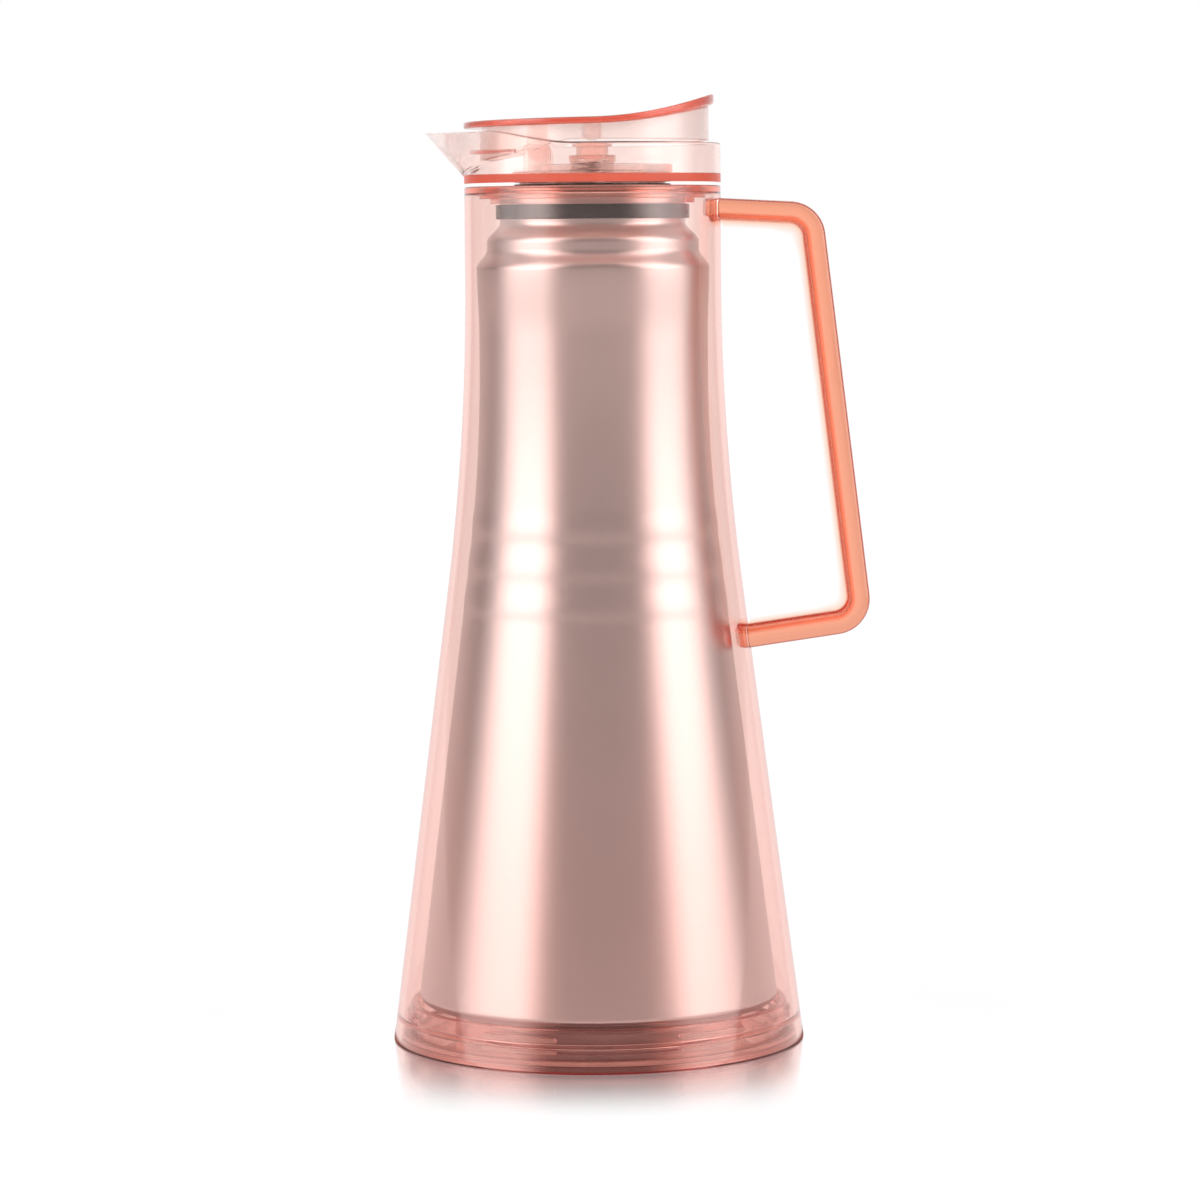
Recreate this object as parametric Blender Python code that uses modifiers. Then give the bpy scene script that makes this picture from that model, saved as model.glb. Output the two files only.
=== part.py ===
"""Thermal carafe: a tinted jacket over a steel vacuum liner, with a press-lever pouring lid.

Metres, +Z up. The origin is the centre of the base cap's underside.
The spout points to -X and the handle to +X.
"""

import math

import bmesh
import bpy
from mathutils import Matrix, Vector

# Clearances
GAP = 0.0003                  # between pieces that touch
RUNNING_GAP = 0.00008         # hinge pin in the lever's ear

# Facets
TURN_STEPS = 32
SMALL_STEPS = 20
ARC_STEPS = 5

# Jacket
SHELL_HEIGHT = 0.2626
RIM_RADIUS = 0.0392
BASE_RADIUS = 0.0636
CYLINDER_HEIGHT = 0.0743      # rim down to where the cone and the upper cylinder would meet
FLARE_RADIUS = 0.75           # large arc that blends cone and cylinder
SHELL_WALL = 0.0021
SHELL_EDGE = 0.0006           # chamfer of the rim
TOP_FLANGE = 0.0022           # thickness of the inward flange
FLANGE_WIDTH = 0.0057         # rim's outside to the hole in that flange
SHELL_LIFT = 0.0004           # jacket's lower edge above the base cap's underside

# Base cap with interrupted thread
CAP_FLOOR = 0.0026
CAP_TOP = 0.0122
CAP_WALL = 0.0022
CAP_FLANGE = 0.0016           # thickness of the bottom flange
THREAD_ROOM = 0.0017          # cap wall to jacket, at the cap's upper edge
LUG_DEPTH = 0.0011
LUG_THICKNESS = 0.0014
LUG_HEIGHT = 0.0056           # middle of the lower row
LUG_PITCH = 0.0036
LUG_ROWS = 2
LUG_COUNT = 6
LUG_ANGLE = math.radians(22)
LUG_TURN = math.radians(5.7)  # lugs turned from the front towards the handle
BASE_GASKET_HEIGHT = 0.0014
RECESS_DEPTH = 0.0008
RECESS_INNER = 0.018
RECESS_MARGIN = 0.0157        # jacket's base radius to the recess
SUPPORT_INSET = 0.0138        # liner's base radius to the middle of the ring that carries it
SUPPORT_WALL = 0.0024
PAD_SPACE = 0.0044            # that ring's top to the liner's foot
PAD_WIDTH = 0.0060

# Liner, outer wall
LINER_WALL = 0.0006
FOOT_LIFT = 0.0010            # its underside above the base cap's upper edge
LINER_BASE_SPACE = 0.0065     # jacket's outside to liner, both cones carried down to height zero
LINER_WAIST_SPACE = 0.0042    # jacket's outside to liner along the upper cylinder
LINER_MEET_DROP = 0.0097      # its cone meets its cylinder this far below the jacket's
LINER_FLARE = 0.52
FOOT_ROUND = 0.0025
FOOT_RIM_INSET = 0.0055       # support ring's middle to the edge of the turned-in foot
BEAD_DROP = 0.0186            # liner's meet down to the middle of the highest bead
BEAD_PITCH = 0.0117
BEAD_COUNT = 3
BEAD_RISE = 0.0008
BEAD_HALF = 0.0036
SHOULDER_STEP = 0.0006        # shoulder's radius over the waist's
SHOULDER_DROP = 0.0231        # lip down to the shoulder's lower edge
SHOULDER_SLANT = 0.0040       # height of each slanted stretch of the shoulder
SHOULDER_BAND = 0.0028        # height of the upright stretch between them
STEP_RISE = 0.0040            # upright stretch's radius over the neck's
NECK_INSET = 0.0066           # waist's radius over the neck's
LIP_DROP = 0.0008             # jacket's rim down to the liner's lip

# Liner, inner wall and bottom
VACUUM_GAP = 0.0034
NECK_VACUUM = 0.0010
VACUUM_FLOOR = 0.0045         # liner's foot plate to the inner bottom
INNER_ROUND = 0.0090
INNER_SHOULDER_DROP = 0.0269  # lip down to the inner wall's shoulder
INNER_SHOULDER_HEIGHT = 0.0080
LIP = 0.0007
DISH_RISE = 0.0015
DISH_INSET = 0.0110           # edge of the turned-in foot to the dish
DISH_SLANT = 0.0040
PORT_RADIUS = 0.0020          # evacuation hole
PLUG_HEAD = 0.0045
PLUG_HEAD_THICKNESS = 0.0009
GETTER_RADIUS = 0.0060
GETTER_THICKNESS = 0.0015
GETTER_OFFSET = 0.0140

# Neck ring and its gasket
RING_RECESS = 0.0002          # top of the ring below the jacket's rim
RING_FLANGE_WIDTH = 0.0011    # beyond the hole in the jacket's flange
RING_FLANGE = 0.0012
RING_STEP = 0.0022            # that hole's radius over the ring's lower step
RING_LOWER = 0.0015
NECK_GASKET_WALL = 0.0009
NECK_GASKET_HEIGHT = 0.0044

# Handle
HANDLE_WIDTH = 0.0140
HANDLE_DEPTH = 0.0063
HANDLE_ROUNDNESS = 5.0        # power of the section's rounded-box curve
HANDLE_SIDES = 16
HANDLE_BEND = 0.0080
HANDLE_DROP = 0.0074          # jacket's rim down to where the upper arm meets the wall
HANDLE_SPAN = 0.1309          # from there down to where the lower arm meets it
UPPER_ARM = (0.0279, -0.0015)  # from the wall to the bar's corner, out and up
LOWER_ARM = (0.0346, 0.0050)
FIN_DEPTH = 0.0019            # fin along the bar's inner side
FIN_ROOT = 0.0024             # thickness at the bar
FIN_EDGE = 0.0010             # thickness at its edge
FIN_SINK = 0.0010             # its root inside the bar
CLIP_HEIGHT = 0.0064
CLIP_WIDTH = 0.0110
UPPER_CLIP = 0.0023           # thickness
LOWER_CLIP = 0.0011
CLIP_CHAMFER = 0.0005

# Lid collar with spout
LID_GAP = 0.0010              # jacket's rim to the lid's underside
LID_FLOOR = 0.0024
COLLAR_HEIGHT = 0.0119
COLLAR_WALL = 0.0019
SPOUT_LENGTH = 0.0118         # tip beyond the collar's radius
SPOUT_RISE = 0.0036           # tip above the collar's rim
SPOUT_ROOT = 0.0021           # lower end of the keel above the lid's underside
SPOUT_CREASE = math.radians(78)
RISE_FROM = math.radians(82)  # rim starts to climb towards the spout
RISE_TO = math.radians(36)
CREASE_DEPTH = 0.0012         # crease below the rim where it starts
COLLAR_STEPS = 48

# Hinge
PIVOT_X = -0.0162
PIVOT_HEIGHT = 0.0090         # above the lid's underside
PIN_RADIUS = 0.00125
POST_WIDTH = 0.0080
POST_TOP = 0.0024             # above the pivot
POST_THICKNESS = 0.0030
EAR_RADIUS = 0.0028
EAR_THICKNESS = 0.0032
EAR_INSET = 0.0032            # low ring wall's radius to the outer face of an ear

# Stopper
TUBE_SPACE = 0.0040           # liner's bore to the housing's spigot
TUBE_WALL = 0.0016
STOPPER_WALL = 0.0015
STOPPER_DEPTH = 0.0256        # lid's underside to the stopper's end
STOPPER_TAPER = 0.0012
SPIGOT_DEPTH = 0.0116
SEAT_HOLE = 0.0095
SEAT_FLOOR = 0.0020
GROOVE_DROP = 0.0139          # lid's underside to the gasket groove
GROOVE_HEIGHT = 0.0032
GROOVE_DEPTH = 0.0010
RING_WALL_STEP = 0.0023       # low wall on the lid's floor, beyond the spigot
RING_WALL_HEIGHT = 0.0031
RING_WALL = 0.0016
POUR_CUT_X = -0.0090          # low wall is open on the spout's side of this plane
POUR_CUT_HALF = 0.0160

# Guide tower, valve and spring
SLIDE_GAP = 0.0004            # valve stem's head in the tower
TOWER_WALL = 0.0014
TOWER_LIP = 0.0005
TOWER_LIP_HEIGHT = 0.0018
TOWER_TOP = 0.0084            # above the lid's underside
TOWER_DEPTH = 0.0056          # below the lid's underside
TOWER_FLOOR = 0.0016
RIB_COUNT = 3
RIB_THICKNESS = 0.0018
RIB_HEIGHT = 0.0060
STEM_RADIUS = 0.0022
STEM_HEAD = 0.0049            # sliding part in the tower
STEM_HEAD_LENGTH = 0.0037
STEM_CAP = 0.0062
STEM_CAP_THICKNESS = 0.0016
STEM_CAP_EDGE = 0.0006
CAP_TRAVEL_ROOM = 0.0026      # cap above the tower at rest
STEM_TAIL = 0.0015
SEAT_OVERLAP = 0.0025         # valve disc beyond the seat's hole
DISC_THICKNESS = 0.0018
DISC_HUB = 0.0045
SEAL_THICKNESS = 0.0030
SPRING_SPACE = 0.0017         # stem to the middle of the coil's wire
WIRE_RADIUS = 0.0004
SPRING_TURNS = 6
POINTS_PER_TURN = 9

# Lever
LEVER_INSET = 0.0010          # collar's radius over the plate's
LEVER_SHIFT = -0.0010         # plate's middle from the axis
LEVER_FRONT_TOP = 0.0186      # plate's front edge above the lid's underside
LEVER_SLOPE = 0.0165
SWEEP_RADIUS = 0.102          # arc of the upswept back
PLATE_THICKNESS = 0.0020
TIP_THICKENING = 0.0012
SKIRT_INSET = 0.0046          # collar's radius over the skirt's
SKIRT_WALL = 0.0018
SKIRT_BACK = 0.0126           # lower edges above the lid's underside
SKIRT_FRONT = 0.0068
SKIRT_BEND_BACK = -0.0080
SKIRT_BEND_FRONT = -0.0325
SHUTTER_INSET = 0.0026        # collar's radius over the shutter's
SHUTTER_BACK = -0.0222
SHUTTER_TOP = 0.0099          # above the lid's underside
SHUTTER_THICKNESS = 0.0012
PRESSER_RADIUS = 0.0028
PRESSER_TIP = 0.0012
PRESSER_TAPER = 0.0012
PRESSER_GAP = 0.0004

# Modelling
SHARP_ANGLE = math.radians(35)
MERGE_DISTANCE = 0.00001
AXIS_DISPLAY = 0.01
HOLE_TOOL = 6 * SHELL_WALL    # length of the tools that cut the arms' holes

# Radii that follow from the sizes above
FLANGE_HOLE = RIM_RADIUS - FLANGE_WIDTH
LINER_BASE_RADIUS = BASE_RADIUS - LINER_BASE_SPACE
LINER_WAIST = RIM_RADIUS - LINER_WAIST_SPACE
SHOULDER_RADIUS = LINER_WAIST + SHOULDER_STEP
NECK_RADIUS = LINER_WAIST - NECK_INSET
STEP_RADIUS = NECK_RADIUS + STEP_RISE
RECESS_OUTER = BASE_RADIUS - RECESS_MARGIN
SUPPORT_RADIUS = LINER_BASE_RADIUS - SUPPORT_INSET
FOOT_RIM = SUPPORT_RADIUS - FOOT_RIM_INSET
DISH_RADIUS = FOOT_RIM - DISH_INSET
RING_BORE = NECK_RADIUS + GAP
LINER_BORE = NECK_RADIUS - 2 * LINER_WALL - NECK_VACUUM
RING_FLANGE_RADIUS = FLANGE_HOLE + RING_FLANGE_WIDTH
RING_LOWER_RADIUS = FLANGE_HOLE - RING_STEP
SPOUT_REACH = RIM_RADIUS + SPOUT_LENGTH
TUBE_RADIUS = LINER_BORE - TUBE_SPACE
RING_WALL_RADIUS = TUBE_RADIUS + RING_WALL_STEP
EAR_OUTER = RING_WALL_RADIUS - EAR_INSET
TOWER_BORE = STEM_HEAD + SLIDE_GAP
SPRING_RADIUS = STEM_RADIUS + SPRING_SPACE
DISC_RADIUS = SEAT_HOLE + SEAT_OVERLAP
LEVER_RADIUS = RIM_RADIUS - LEVER_INSET
SKIRT_RADIUS = RIM_RADIUS - SKIRT_INSET
SHUTTER_RADIUS = RIM_RADIUS - SHUTTER_INSET

# Heights that follow from the sizes above
CONE_MEET = SHELL_HEIGHT - CYLINDER_HEIGHT
LINER_MEET = CONE_MEET - LINER_MEET_DROP
BEAD_TOP = LINER_MEET - BEAD_DROP
LINER_FOOT = CAP_TOP + FOOT_LIFT
SUPPORT_TOP = LINER_FOOT - PAD_SPACE
HANDLE_TOP_HEIGHT = SHELL_HEIGHT - HANDLE_DROP
HANDLE_FOOT_HEIGHT = HANDLE_TOP_HEIGHT - HANDLE_SPAN
FLANGE_UNDER = SHELL_HEIGHT - TOP_FLANGE
RING_FLANGE_TOP = FLANGE_UNDER - GAP
RING_FLANGE_UNDER = RING_FLANGE_TOP - RING_FLANGE
RING_UNDER = RING_FLANGE_UNDER - RING_LOWER
NECK_GASKET_TOP = RING_UNDER - GAP
LIP_TOP = SHELL_HEIGHT - LIP_DROP
LIP_UNDER = LIP_TOP - LIP
LID_UNDER = SHELL_HEIGHT + LID_GAP
LID_TOP = LID_UNDER + LID_FLOOR
PIVOT_Z = LID_UNDER + PIVOT_HEIGHT
TOWER_RIM = LID_UNDER + TOWER_TOP
TOWER_UNDER = LID_UNDER - TOWER_DEPTH
SPRING_SEAT = TOWER_UNDER + TOWER_FLOOR
STEM_CAP_UNDER = TOWER_RIM + CAP_TRAVEL_ROOM
STEM_TOP = STEM_CAP_UNDER + STEM_CAP_THICKNESS
STEM_SHOULDER = STEM_CAP_UNDER - STEM_HEAD_LENGTH
SEAT_UNDER = LID_UNDER - STOPPER_DEPTH
SEAL_TOP = SEAT_UNDER - GAP
DISC_TOP = SEAL_TOP - SEAL_THICKNESS - GAP
DISC_UNDER = DISC_TOP - DISC_THICKNESS
HUB_TOP = SEAT_UNDER - SEAT_FLOOR
CAP_RADIUS_CLEARANCE = SHELL_WALL + THREAD_ROOM

# Colours: base colour, roughness, metallic, transmission
TINTED_CLEAR = ((0.93, 0.52, 0.43, 1.0), 0.12, 0.0, 0.8)
TINTED_DEEP = ((0.94, 0.30, 0.18, 1.0), 0.10, 0.0, 0.7)
SATIN_STEEL = ((0.62, 0.58, 0.57, 1.0), 0.32, 1.0, 0.0)
BRIGHT_STEEL = ((0.70, 0.68, 0.67, 1.0), 0.20, 1.0, 0.0)
DARK_RUBBER = ((0.03, 0.03, 0.03, 1.0), 0.55, 0.0, 0.0)
BLACK_PLASTIC = ((0.02, 0.02, 0.02, 1.0), 0.35, 0.0, 0.0)
SOFT_SILICONE = ((0.55, 0.52, 0.50, 1.0), 0.60, 0.0, 0.0)


# Helpers

def clear_scene():
    for thing in list(bpy.data.objects):
        bpy.data.objects.remove(thing, do_unlink=True)


def new_collection(name):
    group = bpy.data.collections.new(name)
    bpy.context.scene.collection.children.link(group)
    return group


def new_object(name, mesh, group):
    thing = bpy.data.objects.new(name, mesh)
    group.objects.link(thing)
    return thing


def finish(thing, look):
    """Smooth shading and a material of the piece's own."""
    colour, roughness, metallic, transmission = look
    material = bpy.data.materials.new(thing.name)
    material.use_nodes = True
    shader = material.node_tree.nodes["Principled BSDF"]
    shader.inputs["Base Color"].default_value = colour
    shader.inputs["Roughness"].default_value = roughness
    shader.inputs["Metallic"].default_value = metallic
    shader.inputs["Transmission Weight"].default_value = transmission
    thing.data.materials.append(material)
    thing.data.shade_smooth()
    thing.data.set_sharp_from_angle(angle=SHARP_ANGLE)
    return thing


def as_tool(thing):
    """Marks an object that only cuts or joins another."""
    thing.hide_render = True
    thing.display_type = 'WIRE'
    return thing


def combine(target, tool, operation):
    step = target.modifiers.new(f"{operation.lower()} {tool.name}", 'BOOLEAN')
    step.operation = operation
    step.solver = 'EXACT'
    step.object = tool


def turned(name, profile, group, steps=TURN_STEPS, closed=True):
    """A profile of (radius, height) points, down its outer side, turned about Z."""
    mesh = bpy.data.meshes.new(name)
    edges = [(i, i + 1) for i in range(len(profile) - 1)]
    if closed:
        edges.append((len(profile) - 1, 0))
    mesh.from_pydata([(r, 0, z) for r, z in profile], edges, [])
    thing = new_object(name, mesh, group)
    screw = thing.modifiers.new("turn", 'SCREW')
    screw.axis = 'Z'
    screw.steps = steps
    screw.render_steps = steps
    screw.use_merge_vertices = True
    screw.merge_threshold = MERGE_DISTANCE
    return thing


def plate(name, outline, thickness, place, group):
    """A flat outline of (x, y) points, given a thickness about its plane and put in place."""
    curve = bpy.data.curves.new(name, 'CURVE')
    curve.dimensions = '2D'
    curve.fill_mode = 'BOTH'
    curve.extrude = thickness / 2
    spline = curve.splines.new('POLY')
    spline.points.add(len(outline) - 1)
    for point, (x, y) in zip(spline.points, outline):
        point.co = (x, y, 0, 1)
    spline.use_cyclic_u = True
    return meshed(name, curve, place, group)


def meshed(name, curve, place, group):
    """A curve as a welded mesh object, with its place in the mesh."""
    drawn = new_object(name + " curve", curve, group)
    bpy.context.view_layer.update()
    graph = bpy.context.evaluated_depsgraph_get()
    mesh = bpy.data.meshes.new_from_object(drawn.evaluated_get(graph))
    bpy.data.objects.remove(drawn)
    bpy.data.curves.remove(curve)
    solid = bmesh.new()
    solid.from_mesh(mesh)
    bmesh.ops.remove_doubles(solid, verts=solid.verts, dist=MERGE_DISTANCE)
    bmesh.ops.transform(solid, matrix=place, verts=solid.verts)
    bmesh.ops.recalc_face_normals(solid, faces=solid.faces)
    solid.to_mesh(mesh)
    solid.free()
    mesh.name = name
    return new_object(name, mesh, group)


def block(name, size, place, group, chamfer=0.0):
    """A box of the given size about its middle, with chamfered edges, put in place."""
    solid = bmesh.new()
    bmesh.ops.create_cube(solid, size=1.0)
    bmesh.ops.scale(solid, vec=size, verts=solid.verts)
    if chamfer:
        bmesh.ops.bevel(solid, geom=solid.edges[:], offset=chamfer, segments=1,
                        affect='EDGES', profile=0.5)
    bmesh.ops.transform(solid, matrix=place, verts=solid.verts)
    mesh = bpy.data.meshes.new(name)
    solid.to_mesh(mesh)
    solid.free()
    return new_object(name, mesh, group)


def arc(middle, radius, start, end, steps=ARC_STEPS):
    """Points on a circle from one angle to another, ends included."""
    turns = [start + (end - start) * i / steps for i in range(steps + 1)]
    return [(middle[0] + radius * math.cos(a), middle[1] + radius * math.sin(a)) for a in turns]


def side_plane(y):
    """Puts an outline drawn in x and z upright, at this distance along Y."""
    return Matrix.Translation((0, y, 0)) @ Matrix.Rotation(math.pi / 2, 4, 'X')


def hang_on(things, name, where, group):
    """Parents pieces to an empty that stands on their joint's axis."""
    axis = bpy.data.objects.new(name, None)
    axis.location = where
    axis.empty_display_size = AXIS_DISPLAY
    group.objects.link(axis)
    bpy.context.view_layer.update()
    for thing in things:
        thing.parent = axis
        thing.matrix_parent_inverse = axis.matrix_world.inverted()
    return axis


# Radii of the body

def flared_radius(z, top, base, meet, flare):
    """A cone that runs into a cylinder through one large arc."""
    slope = (base - top) / meet
    angle = math.atan(slope)
    reach = flare * math.tan(angle / 2)
    if z >= meet + reach:
        return top
    if z <= meet - reach * math.cos(angle):
        return base - slope * z
    drop = meet + reach - z
    return top + flare - math.sqrt(flare ** 2 - drop ** 2)


def flare_levels(top, base, meet, flare):
    """Heights from the arc's upper end to its lower end."""
    angle = math.atan((base - top) / meet)
    reach = flare * math.tan(angle / 2)
    high = meet + reach
    low = meet - reach * math.cos(angle)
    return [high + (low - high) * i / ARC_STEPS for i in range(ARC_STEPS + 1)]


def shell_radius(z):
    return flared_radius(z, RIM_RADIUS, BASE_RADIUS, CONE_MEET, FLARE_RADIUS)


def shell_inside(z):
    return shell_radius(z) - SHELL_WALL


def liner_radius(z):
    return flared_radius(z, LINER_WAIST, LINER_BASE_RADIUS, LINER_MEET, LINER_FLARE)


def cap_radius():
    return shell_radius(CAP_TOP) - CAP_RADIUS_CLEARANCE


def foot_round(radius, middle_radius, inset):
    """Corner between the liner's cone and a flat bottom, inset from the outer wall's cone."""
    slope = (LINER_BASE_RADIUS - LINER_WAIST) / LINER_MEET
    lean = math.atan(slope)
    bottom = LINER_FOOT if not inset else inner_bottom()
    height = bottom + middle_radius
    middle = LINER_BASE_RADIUS - inset - slope * height - middle_radius / math.cos(lean)
    return arc((middle, height), radius, lean, -math.pi / 2)


def inner_bottom():
    return LINER_FOOT + LINER_WALL + VACUUM_FLOOR


# Jacket and base

def make_shell(parts, tools):
    levels = flare_levels(RIM_RADIUS, BASE_RADIUS, CONE_MEET, FLARE_RADIUS)
    outer = [(RIM_RADIUS - SHELL_EDGE, SHELL_HEIGHT), (RIM_RADIUS, SHELL_HEIGHT - SHELL_EDGE)]
    outer += [(shell_radius(z), z) for z in levels + [SHELL_LIFT]]
    rib_radius = cap_radius() + GAP
    rib_low = LUG_HEIGHT + LUG_THICKNESS / 2 + GAP
    rib_high = LUG_HEIGHT + LUG_PITCH - LUG_THICKNESS / 2 - GAP
    inner = [(shell_inside(SHELL_LIFT), SHELL_LIFT), (shell_inside(rib_low), rib_low)]
    inner += [(rib_radius, rib_low), (rib_radius, rib_high), (shell_inside(rib_high), rib_high)]
    inner += [(shell_inside(z), z) for z in reversed(levels)]
    inner += [(RIM_RADIUS - SHELL_WALL, FLANGE_UNDER), (FLANGE_HOLE, FLANGE_UNDER)]
    inner += [(FLANGE_HOLE, SHELL_HEIGHT)]
    shell = turned("outer_shell", outer + inner, parts)
    for name, end, lean, _ in handle_ends():
        hole = plate(f"{name} hole", handle_section(GAP), HOLE_TOOL, arm_place(end, lean), tools)
        combine(shell, as_tool(hole), 'DIFFERENCE')
    return finish(shell, TINTED_CLEAR)


def make_base_cap(parts, tools):
    radius = cap_radius()
    inside = radius - CAP_WALL
    ring_in = SUPPORT_RADIUS - SUPPORT_WALL / 2
    ring_out = SUPPORT_RADIUS + SUPPORT_WALL / 2
    flange = shell_inside(SHELL_LIFT) - GAP
    profile = [(0, CAP_FLOOR), (ring_in, CAP_FLOOR), (ring_in, SUPPORT_TOP), (ring_out, SUPPORT_TOP)]
    profile += [(ring_out, CAP_FLOOR), (inside, CAP_FLOOR), (inside, CAP_TOP), (radius, CAP_TOP)]
    profile += [(radius, CAP_FLANGE), (flange, CAP_FLANGE), (flange, 0), (RECESS_OUTER, 0)]
    profile += [(RECESS_OUTER, RECESS_DEPTH), (RECESS_INNER, RECESS_DEPTH), (RECESS_INNER, 0), (0, 0)]
    cap = turned("base_cap", profile, parts, closed=False)
    combine(cap, as_tool(make_lugs(radius, tools)), 'UNION')
    return finish(cap, TINTED_CLEAR)


def make_lugs(radius, tools):
    """Short thread lugs: a small section swept round the axis, in rows and round the cap."""
    solid = bmesh.new()
    root = radius - CAP_WALL / 2
    half = LUG_THICKNESS / 2
    for row in range(LUG_ROWS):
        z = LUG_HEIGHT + row * LUG_PITCH
        section = [(root, z - half), (radius, z - half), (radius + LUG_DEPTH, z - half / 2)]
        section += [(radius + LUG_DEPTH, z + half / 2), (radius, z + half), (root, z + half)]
        for i in range(LUG_COUNT):
            middle = 2 * math.pi * (i + 0.5) / LUG_COUNT - math.pi / 2 + LUG_TURN
            start = middle - LUG_ANGLE / 2
            ring = [solid.verts.new((r, 0, height)) for r, height in section]
            face = solid.faces.new(ring)
            turn = Matrix.Rotation(start, 3, 'Z')
            bmesh.ops.rotate(solid, verts=ring, cent=(0, 0, 0), matrix=turn)
            bmesh.ops.spin(solid, geom=[face] + list(face.edges) + ring, cent=(0, 0, 0),
                           axis=(0, 0, 1), angle=LUG_ANGLE, steps=3)
    bmesh.ops.recalc_face_normals(solid, faces=solid.faces)
    mesh = bpy.data.meshes.new("thread lugs")
    solid.to_mesh(mesh)
    solid.free()
    return new_object("thread lugs", mesh, tools)


def make_base_gasket(parts):
    low = CAP_FLANGE + GAP
    high = low + BASE_GASKET_HEIGHT
    inside = cap_radius() + GAP
    outside = shell_inside(high) - GAP
    ring = [(outside, high), (outside, low), (inside, low), (inside, high)]
    return finish(turned("base_gasket", ring, parts), SOFT_SILICONE)


def make_liner_pad(parts):
    low = SUPPORT_TOP + GAP
    high = LINER_FOOT - GAP
    inside = SUPPORT_RADIUS - PAD_WIDTH / 2
    outside = SUPPORT_RADIUS + PAD_WIDTH / 2
    ring = [(outside, high), (outside, low), (inside, low), (inside, high)]
    return finish(turned("liner_pad", ring, parts), SOFT_SILICONE)


# Liner

def shoulder(inset):
    """Neck and stepped shoulder, from the neck down, inset from the outer face."""
    low = LIP_TOP - SHOULDER_DROP
    step_low = low + SHOULDER_SLANT
    step_high = step_low + SHOULDER_BAND
    neck = step_high + SHOULDER_SLANT
    points = [(NECK_RADIUS, neck), (STEP_RADIUS, step_high), (STEP_RADIUS, step_low)]
    points += [(SHOULDER_RADIUS, low), (SHOULDER_RADIUS, low - SHOULDER_BAND)]
    return [(r - inset, z) for r, z in points]


def make_liner_outer(parts):
    levels = flare_levels(LINER_WAIST, LINER_BASE_RADIUS, LINER_MEET, LINER_FLARE)
    top = LIP_UNDER - GAP
    beads = []
    for i in range(BEAD_COUNT):
        for share in (1, 0.5, 0, -0.5, -1):
            z = BEAD_TOP - i * BEAD_PITCH + share * BEAD_HALF
            rise = BEAD_RISE * (1 + math.cos(math.pi * share)) / 2
            beads.append((liner_radius(z) + rise, z))
    first = beads[0][1]
    last = beads[-1][1]
    above = [z for z in levels if z > first]
    below = [z for z in levels if z < last]
    outer = [(NECK_RADIUS, top)] + shoulder(0)
    outer += [(liner_radius(z), z) for z in above] + beads
    outer += [(liner_radius(z), z) for z in below] + foot_round(FOOT_ROUND, FOOT_ROUND, 0)
    inner = [(FOOT_RIM, LINER_FOOT), (FOOT_RIM, LINER_FOOT + LINER_WALL)]
    inner += reversed(foot_round(FOOT_ROUND - LINER_WALL, FOOT_ROUND, 0))
    inner += [(liner_radius(z) - LINER_WALL, z) for z in reversed(levels)]
    inner += reversed(shoulder(LINER_WALL))
    inner += [(NECK_RADIUS - LINER_WALL, top)]
    return finish(turned("liner_outer_wall", outer + inner, parts), SATIN_STEEL)


def make_liner_inner(parts):
    levels = flare_levels(LINER_WAIST, LINER_BASE_RADIUS, LINER_MEET, LINER_FLARE)
    inset = LINER_WALL + VACUUM_GAP
    neck = NECK_RADIUS - LINER_WALL - NECK_VACUUM
    shoulder_low = LIP_TOP - INNER_SHOULDER_DROP
    shoulder_high = shoulder_low + INNER_SHOULDER_HEIGHT
    outer = [(NECK_RADIUS, LIP_TOP), (NECK_RADIUS, LIP_UNDER), (neck, LIP_UNDER), (neck, shoulder_high)]
    outer += [(liner_radius(z) - inset, z) for z in [shoulder_low] + levels]
    outer += foot_round(INNER_ROUND, INNER_ROUND, inset)
    inner = [(0, inner_bottom() + LINER_WALL)]
    inner += reversed(foot_round(INNER_ROUND - LINER_WALL, INNER_ROUND, inset))
    inner += [(liner_radius(z) - inset - LINER_WALL, z) for z in reversed([shoulder_low] + levels)]
    inner += [(neck - LINER_WALL, shoulder_high), (neck - LINER_WALL, LIP_TOP)]
    bottle = turned("liner_inner_wall", inner + outer + [(0, inner_bottom())], parts, closed=False)
    return finish(bottle, BRIGHT_STEEL)


def make_liner_bottom(parts):
    edge = FOOT_RIM - GAP
    raised = LINER_FOOT + DISH_RISE
    slant = DISH_RADIUS + DISH_SLANT
    under = [(edge, LINER_FOOT), (slant, LINER_FOOT), (DISH_RADIUS, raised), (PORT_RADIUS, raised)]
    over = [(r, z + LINER_WALL) for r, z in reversed(under)]
    return finish(turned("liner_bottom", under + over, parts), SATIN_STEEL)


def make_vacuum_plug(parts):
    seat = LINER_FOOT + DISH_RISE
    top = seat + LINER_WALL + GAP
    stem = PORT_RADIUS - GAP
    head = seat - GAP
    profile = [(0, top), (stem, top), (stem, head), (PLUG_HEAD, head)]
    profile += [(PLUG_HEAD - PLUG_HEAD_THICKNESS / 2, head - PLUG_HEAD_THICKNESS)]
    profile += [(0, head - PLUG_HEAD_THICKNESS)]
    return finish(turned("vacuum_plug", profile, parts, SMALL_STEPS, closed=False), DARK_RUBBER)


def make_getter(parts):
    high = inner_bottom() - GAP
    profile = [(0, high), (GETTER_RADIUS, high), (GETTER_RADIUS, high - GETTER_THICKNESS)]
    profile += [(0, high - GETTER_THICKNESS)]
    pellet = turned("getter", profile, parts, SMALL_STEPS, closed=False)
    pellet.location.x = GETTER_OFFSET
    return finish(pellet, BRIGHT_STEEL)


# Neck

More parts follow.
